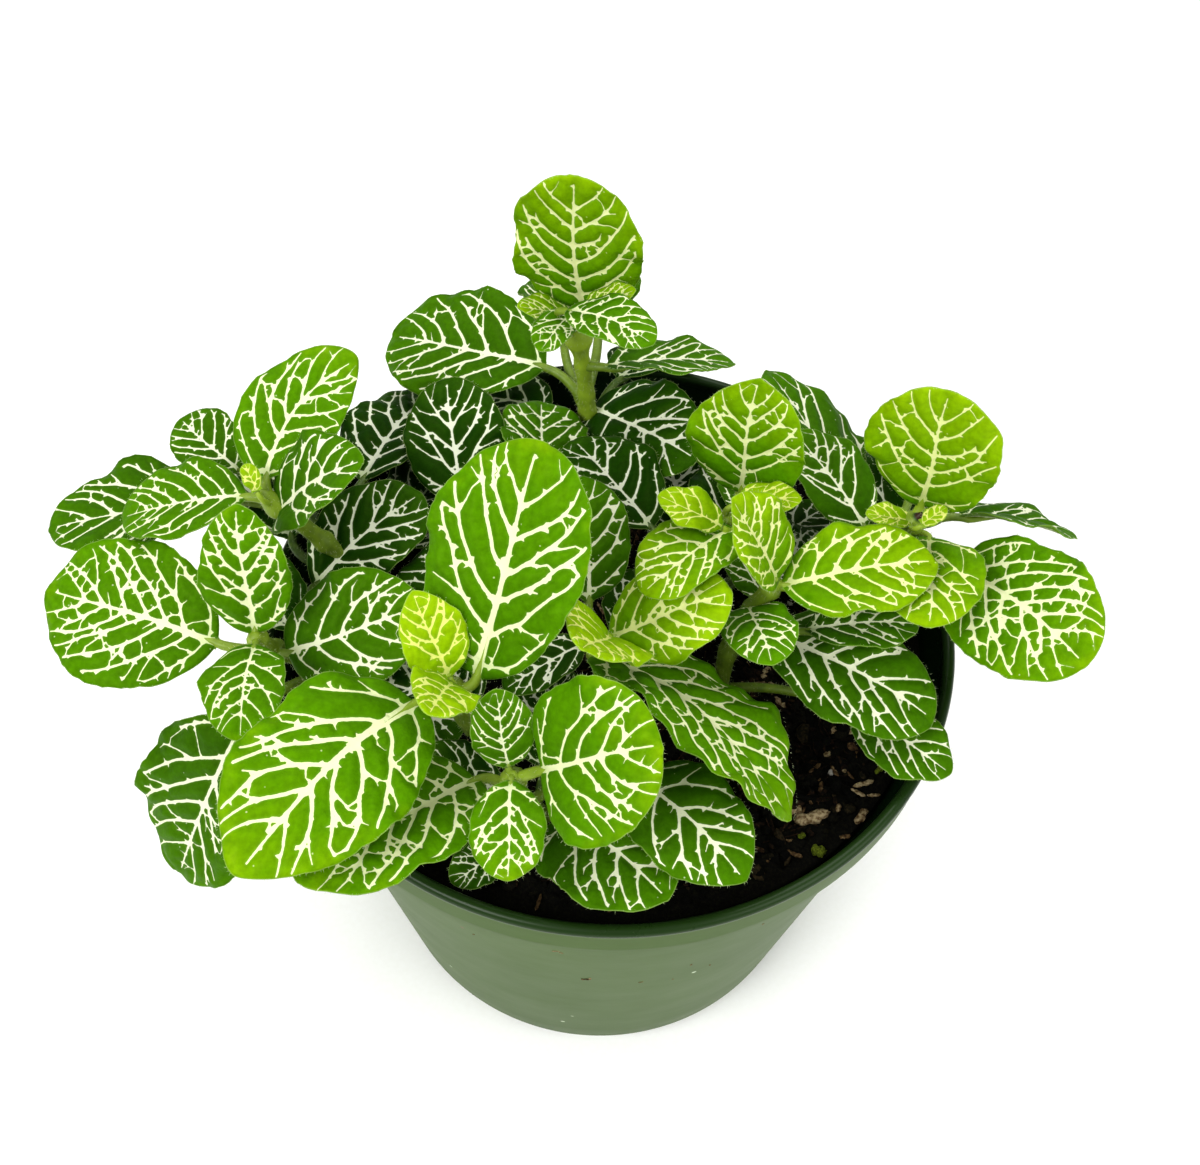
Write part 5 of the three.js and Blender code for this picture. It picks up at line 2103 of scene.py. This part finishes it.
        # most lumps are small, and most are dark
        size, own = (
            put("FunctionNodeRandomValue", {2: 0.0, 3: 1.0, "Seed": number}, data_type="FLOAT")
            for number in (seed + 2, seed + 3)
        )
        size = put("ShaderNodeMath", {0: size, 1: 2.2}, operation="POWER")
        own = put("ShaderNodeMath", {0: own, 1: 3.2}, operation="POWER")
        scale = put(
            "ShaderNodeMapRange", {"Value": size, "To Min": given["Smallest"], "To Max": given["Largest"]}
        )
        girth = put("ShaderNodeVectorMath", {"Vector": build, "Scale": scale}, operation="SCALE")
        stand = put(
            "GeometryNodeInstanceOnPoints",
            {"Points": spread, "Instance": lump, "Rotation": spin, "Scale": girth},
        )
        marked = put(
            "GeometryNodeStoreNamedAttribute",
            {"Geometry": stand, "Name": "grain", "Value": own},
            data_type="FLOAT",
            domain="INSTANCE",
        )
        close_tree(put, marked, material)
        piece = self._bed(name, material, radii[1] * max(shape[0], shape[1]) * 1.3 + 0.6)
        sizes = {"Smallest": radii[0] * MM, "Largest": radii[1] * MM}
        run_tree(piece, name, {"Per square metre": per_square_mm * 1e6, **sizes})
        return piece

    def _bed(self, name: str, material: Material, inset: float) -> Piece:
        """Makes the coarse surface that lumps are scattered on, clear of the pot's wall.

        Args:
            name: The new object's name.
            material: The lumps' material.
            inset: How far it stays away from the edge of the mix.

        Returns:
            The surface.
        """
        rings, sides = 24, 48
        turns = full_turn(sides)
        outer = self.brim - inset
        ringed = [circle(outer * k / rings, 0.0, turns) for k in range(1, rings + 1)]
        points = np.concatenate([np.zeros((1, 3)), *ringed])
        points[:, 2] = self.height(points[:, 0], points[:, 1]) - 0.1
        faces = []
        for i in range(sides):
            j = (i + 1) % sides
            faces.append((0, 1 + i, 1 + j))
            for k in range(rings - 1):
                a, b = 1 + k * sides, 1 + (k + 1) * sides
                faces += [(a + i, b + i, b + j), (a + i, b + j, a + j)]
        return make_object(name, points, faces, material)


# Studio


@dataclass
class Studio:
    """White sweep, soft lights, and the camera where the photograph was taken."""

    target: tuple[float, float, float] = (-1.9, 4.9, 91.0)
    elevation: float = 53.7
    distance: float = 235.0
    roll: float = 2.42
    lens: float = 42.0
    floor_size: float = 3000.0
    aim_height: float = 95.0

    def camera(self) -> None:
        """Sets up the camera."""
        e, r = math.radians(self.elevation), math.radians(self.roll)
        back = Vector((0, -math.cos(e), math.sin(e)))
        right = Vector((1, 0, 0))
        up = back.cross(right)
        turned_right = math.cos(r) * right + math.sin(r) * up
        turned_up = -math.sin(r) * right + math.cos(r) * up
        data = bpy.data.cameras.new("camera")
        data.lens, data.sensor_width = self.lens, 36.0
        data.clip_start, data.clip_end = 0.01, 20.0
        camera = bpy.data.objects.new("camera", data)
        bpy.context.scene.collection.objects.link(camera)
        place = (Vector(self.target) + back * self.distance) * MM
        turn = Matrix((turned_right, turned_up, back)).transposed().to_4x4()
        camera.matrix_world = Matrix.Translation(place) @ turn
        bpy.context.scene.camera = camera

    def floor(self) -> None:
        """Lays the white floor."""
        half = self.floor_size / 2
        points = np.array([[-half, -half, 0], [half, -half, 0], [half, half, 0], [-half, half, 0]])
        made, put = new_material("white_paper_sweep")
        place = put("ShaderNodeTexCoord").outputs["Object"]
        # matt white paper, with fibres about 1 mm apart
        fibre = put("ShaderNodeTexNoise", {"Vector": place, "Scale": 900.0, "Detail": 2.0})
        stops = [(0.2, linear("#fafaf8")), (0.8, linear("#fefefd"))]
        skin = put("ShaderNodeValToRGB", {"Fac": fibre}, stops=stops)
        body = put("ShaderNodeBsdfPrincipled", {"Base Color": skin, "Roughness": 0.9})
        put("ShaderNodeOutputMaterial", {"Surface": body})
        make_object("floor", points, [(0, 1, 2, 3)], made)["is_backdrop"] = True

    def lights(self) -> None:
        """Hangs the soft boxes and lights the surroundings evenly."""
        world = bpy.data.worlds.new("studio")
        bpy.context.scene.world = world
        world.use_nodes = True
        sky = world.node_tree.nodes["Background"].inputs
        sky["Color"].default_value, sky["Strength"].default_value = linear("#ffffff"), 0.5
        for name, place, power, size in (
            ("key", (-360, -400, 600), 3.5, 420.0),
            ("fill", (500, -320, 460), 1.7, 500.0),
            ("top", (40, 260, 700), 1.8, 500.0),
        ):
            data = bpy.data.lights.new(name, "AREA")
            data.energy, data.shape, data.size = power, "DISK", size * MM
            lamp = bpy.data.objects.new(name, data)
            bpy.context.scene.collection.objects.link(lamp)
            spot = Vector(place) * MM
            aim = Vector((0, 0, self.aim_height)) * MM - spot
            lamp.matrix_world = Matrix.Translation(spot) @ aim.to_track_quat("-Z", "Y").to_matrix().to_4x4()

    def build(self) -> None:
        """Sets up the whole studio."""
        view = bpy.context.scene.view_settings
        view.view_transform, view.look = "Standard", "Medium High Contrast"
        self.camera()
        self.floor()
        self.lights()


# Build


def main(cad_box: tuple[Vector, Vector]) -> None:
    """Builds every piece in order.

    Args:
        cad_box: Lowest and highest corner of the CAD model; not used.
    """
    Studio().build()
    pot = NurseryPot()
    bark = BARK.material()
    pot.build(MouldedPolypropylene().material(), bark)
    PottingMix(pot).build(SHADED_PEAT.material(), bark, PERLITE.material(), MOSS.material())
    looks = PlantLooks(LeafTissue().material(), StalkTissue().material(), HairCoat(FineHair().material()))
    maker = LeafMaker()
    for stem in STEMS:
        stem.build(maker, looks)


if __name__ == "__main__":
    logging.basicConfig(level=logging.INFO, format="%(message)s")
    main(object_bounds())
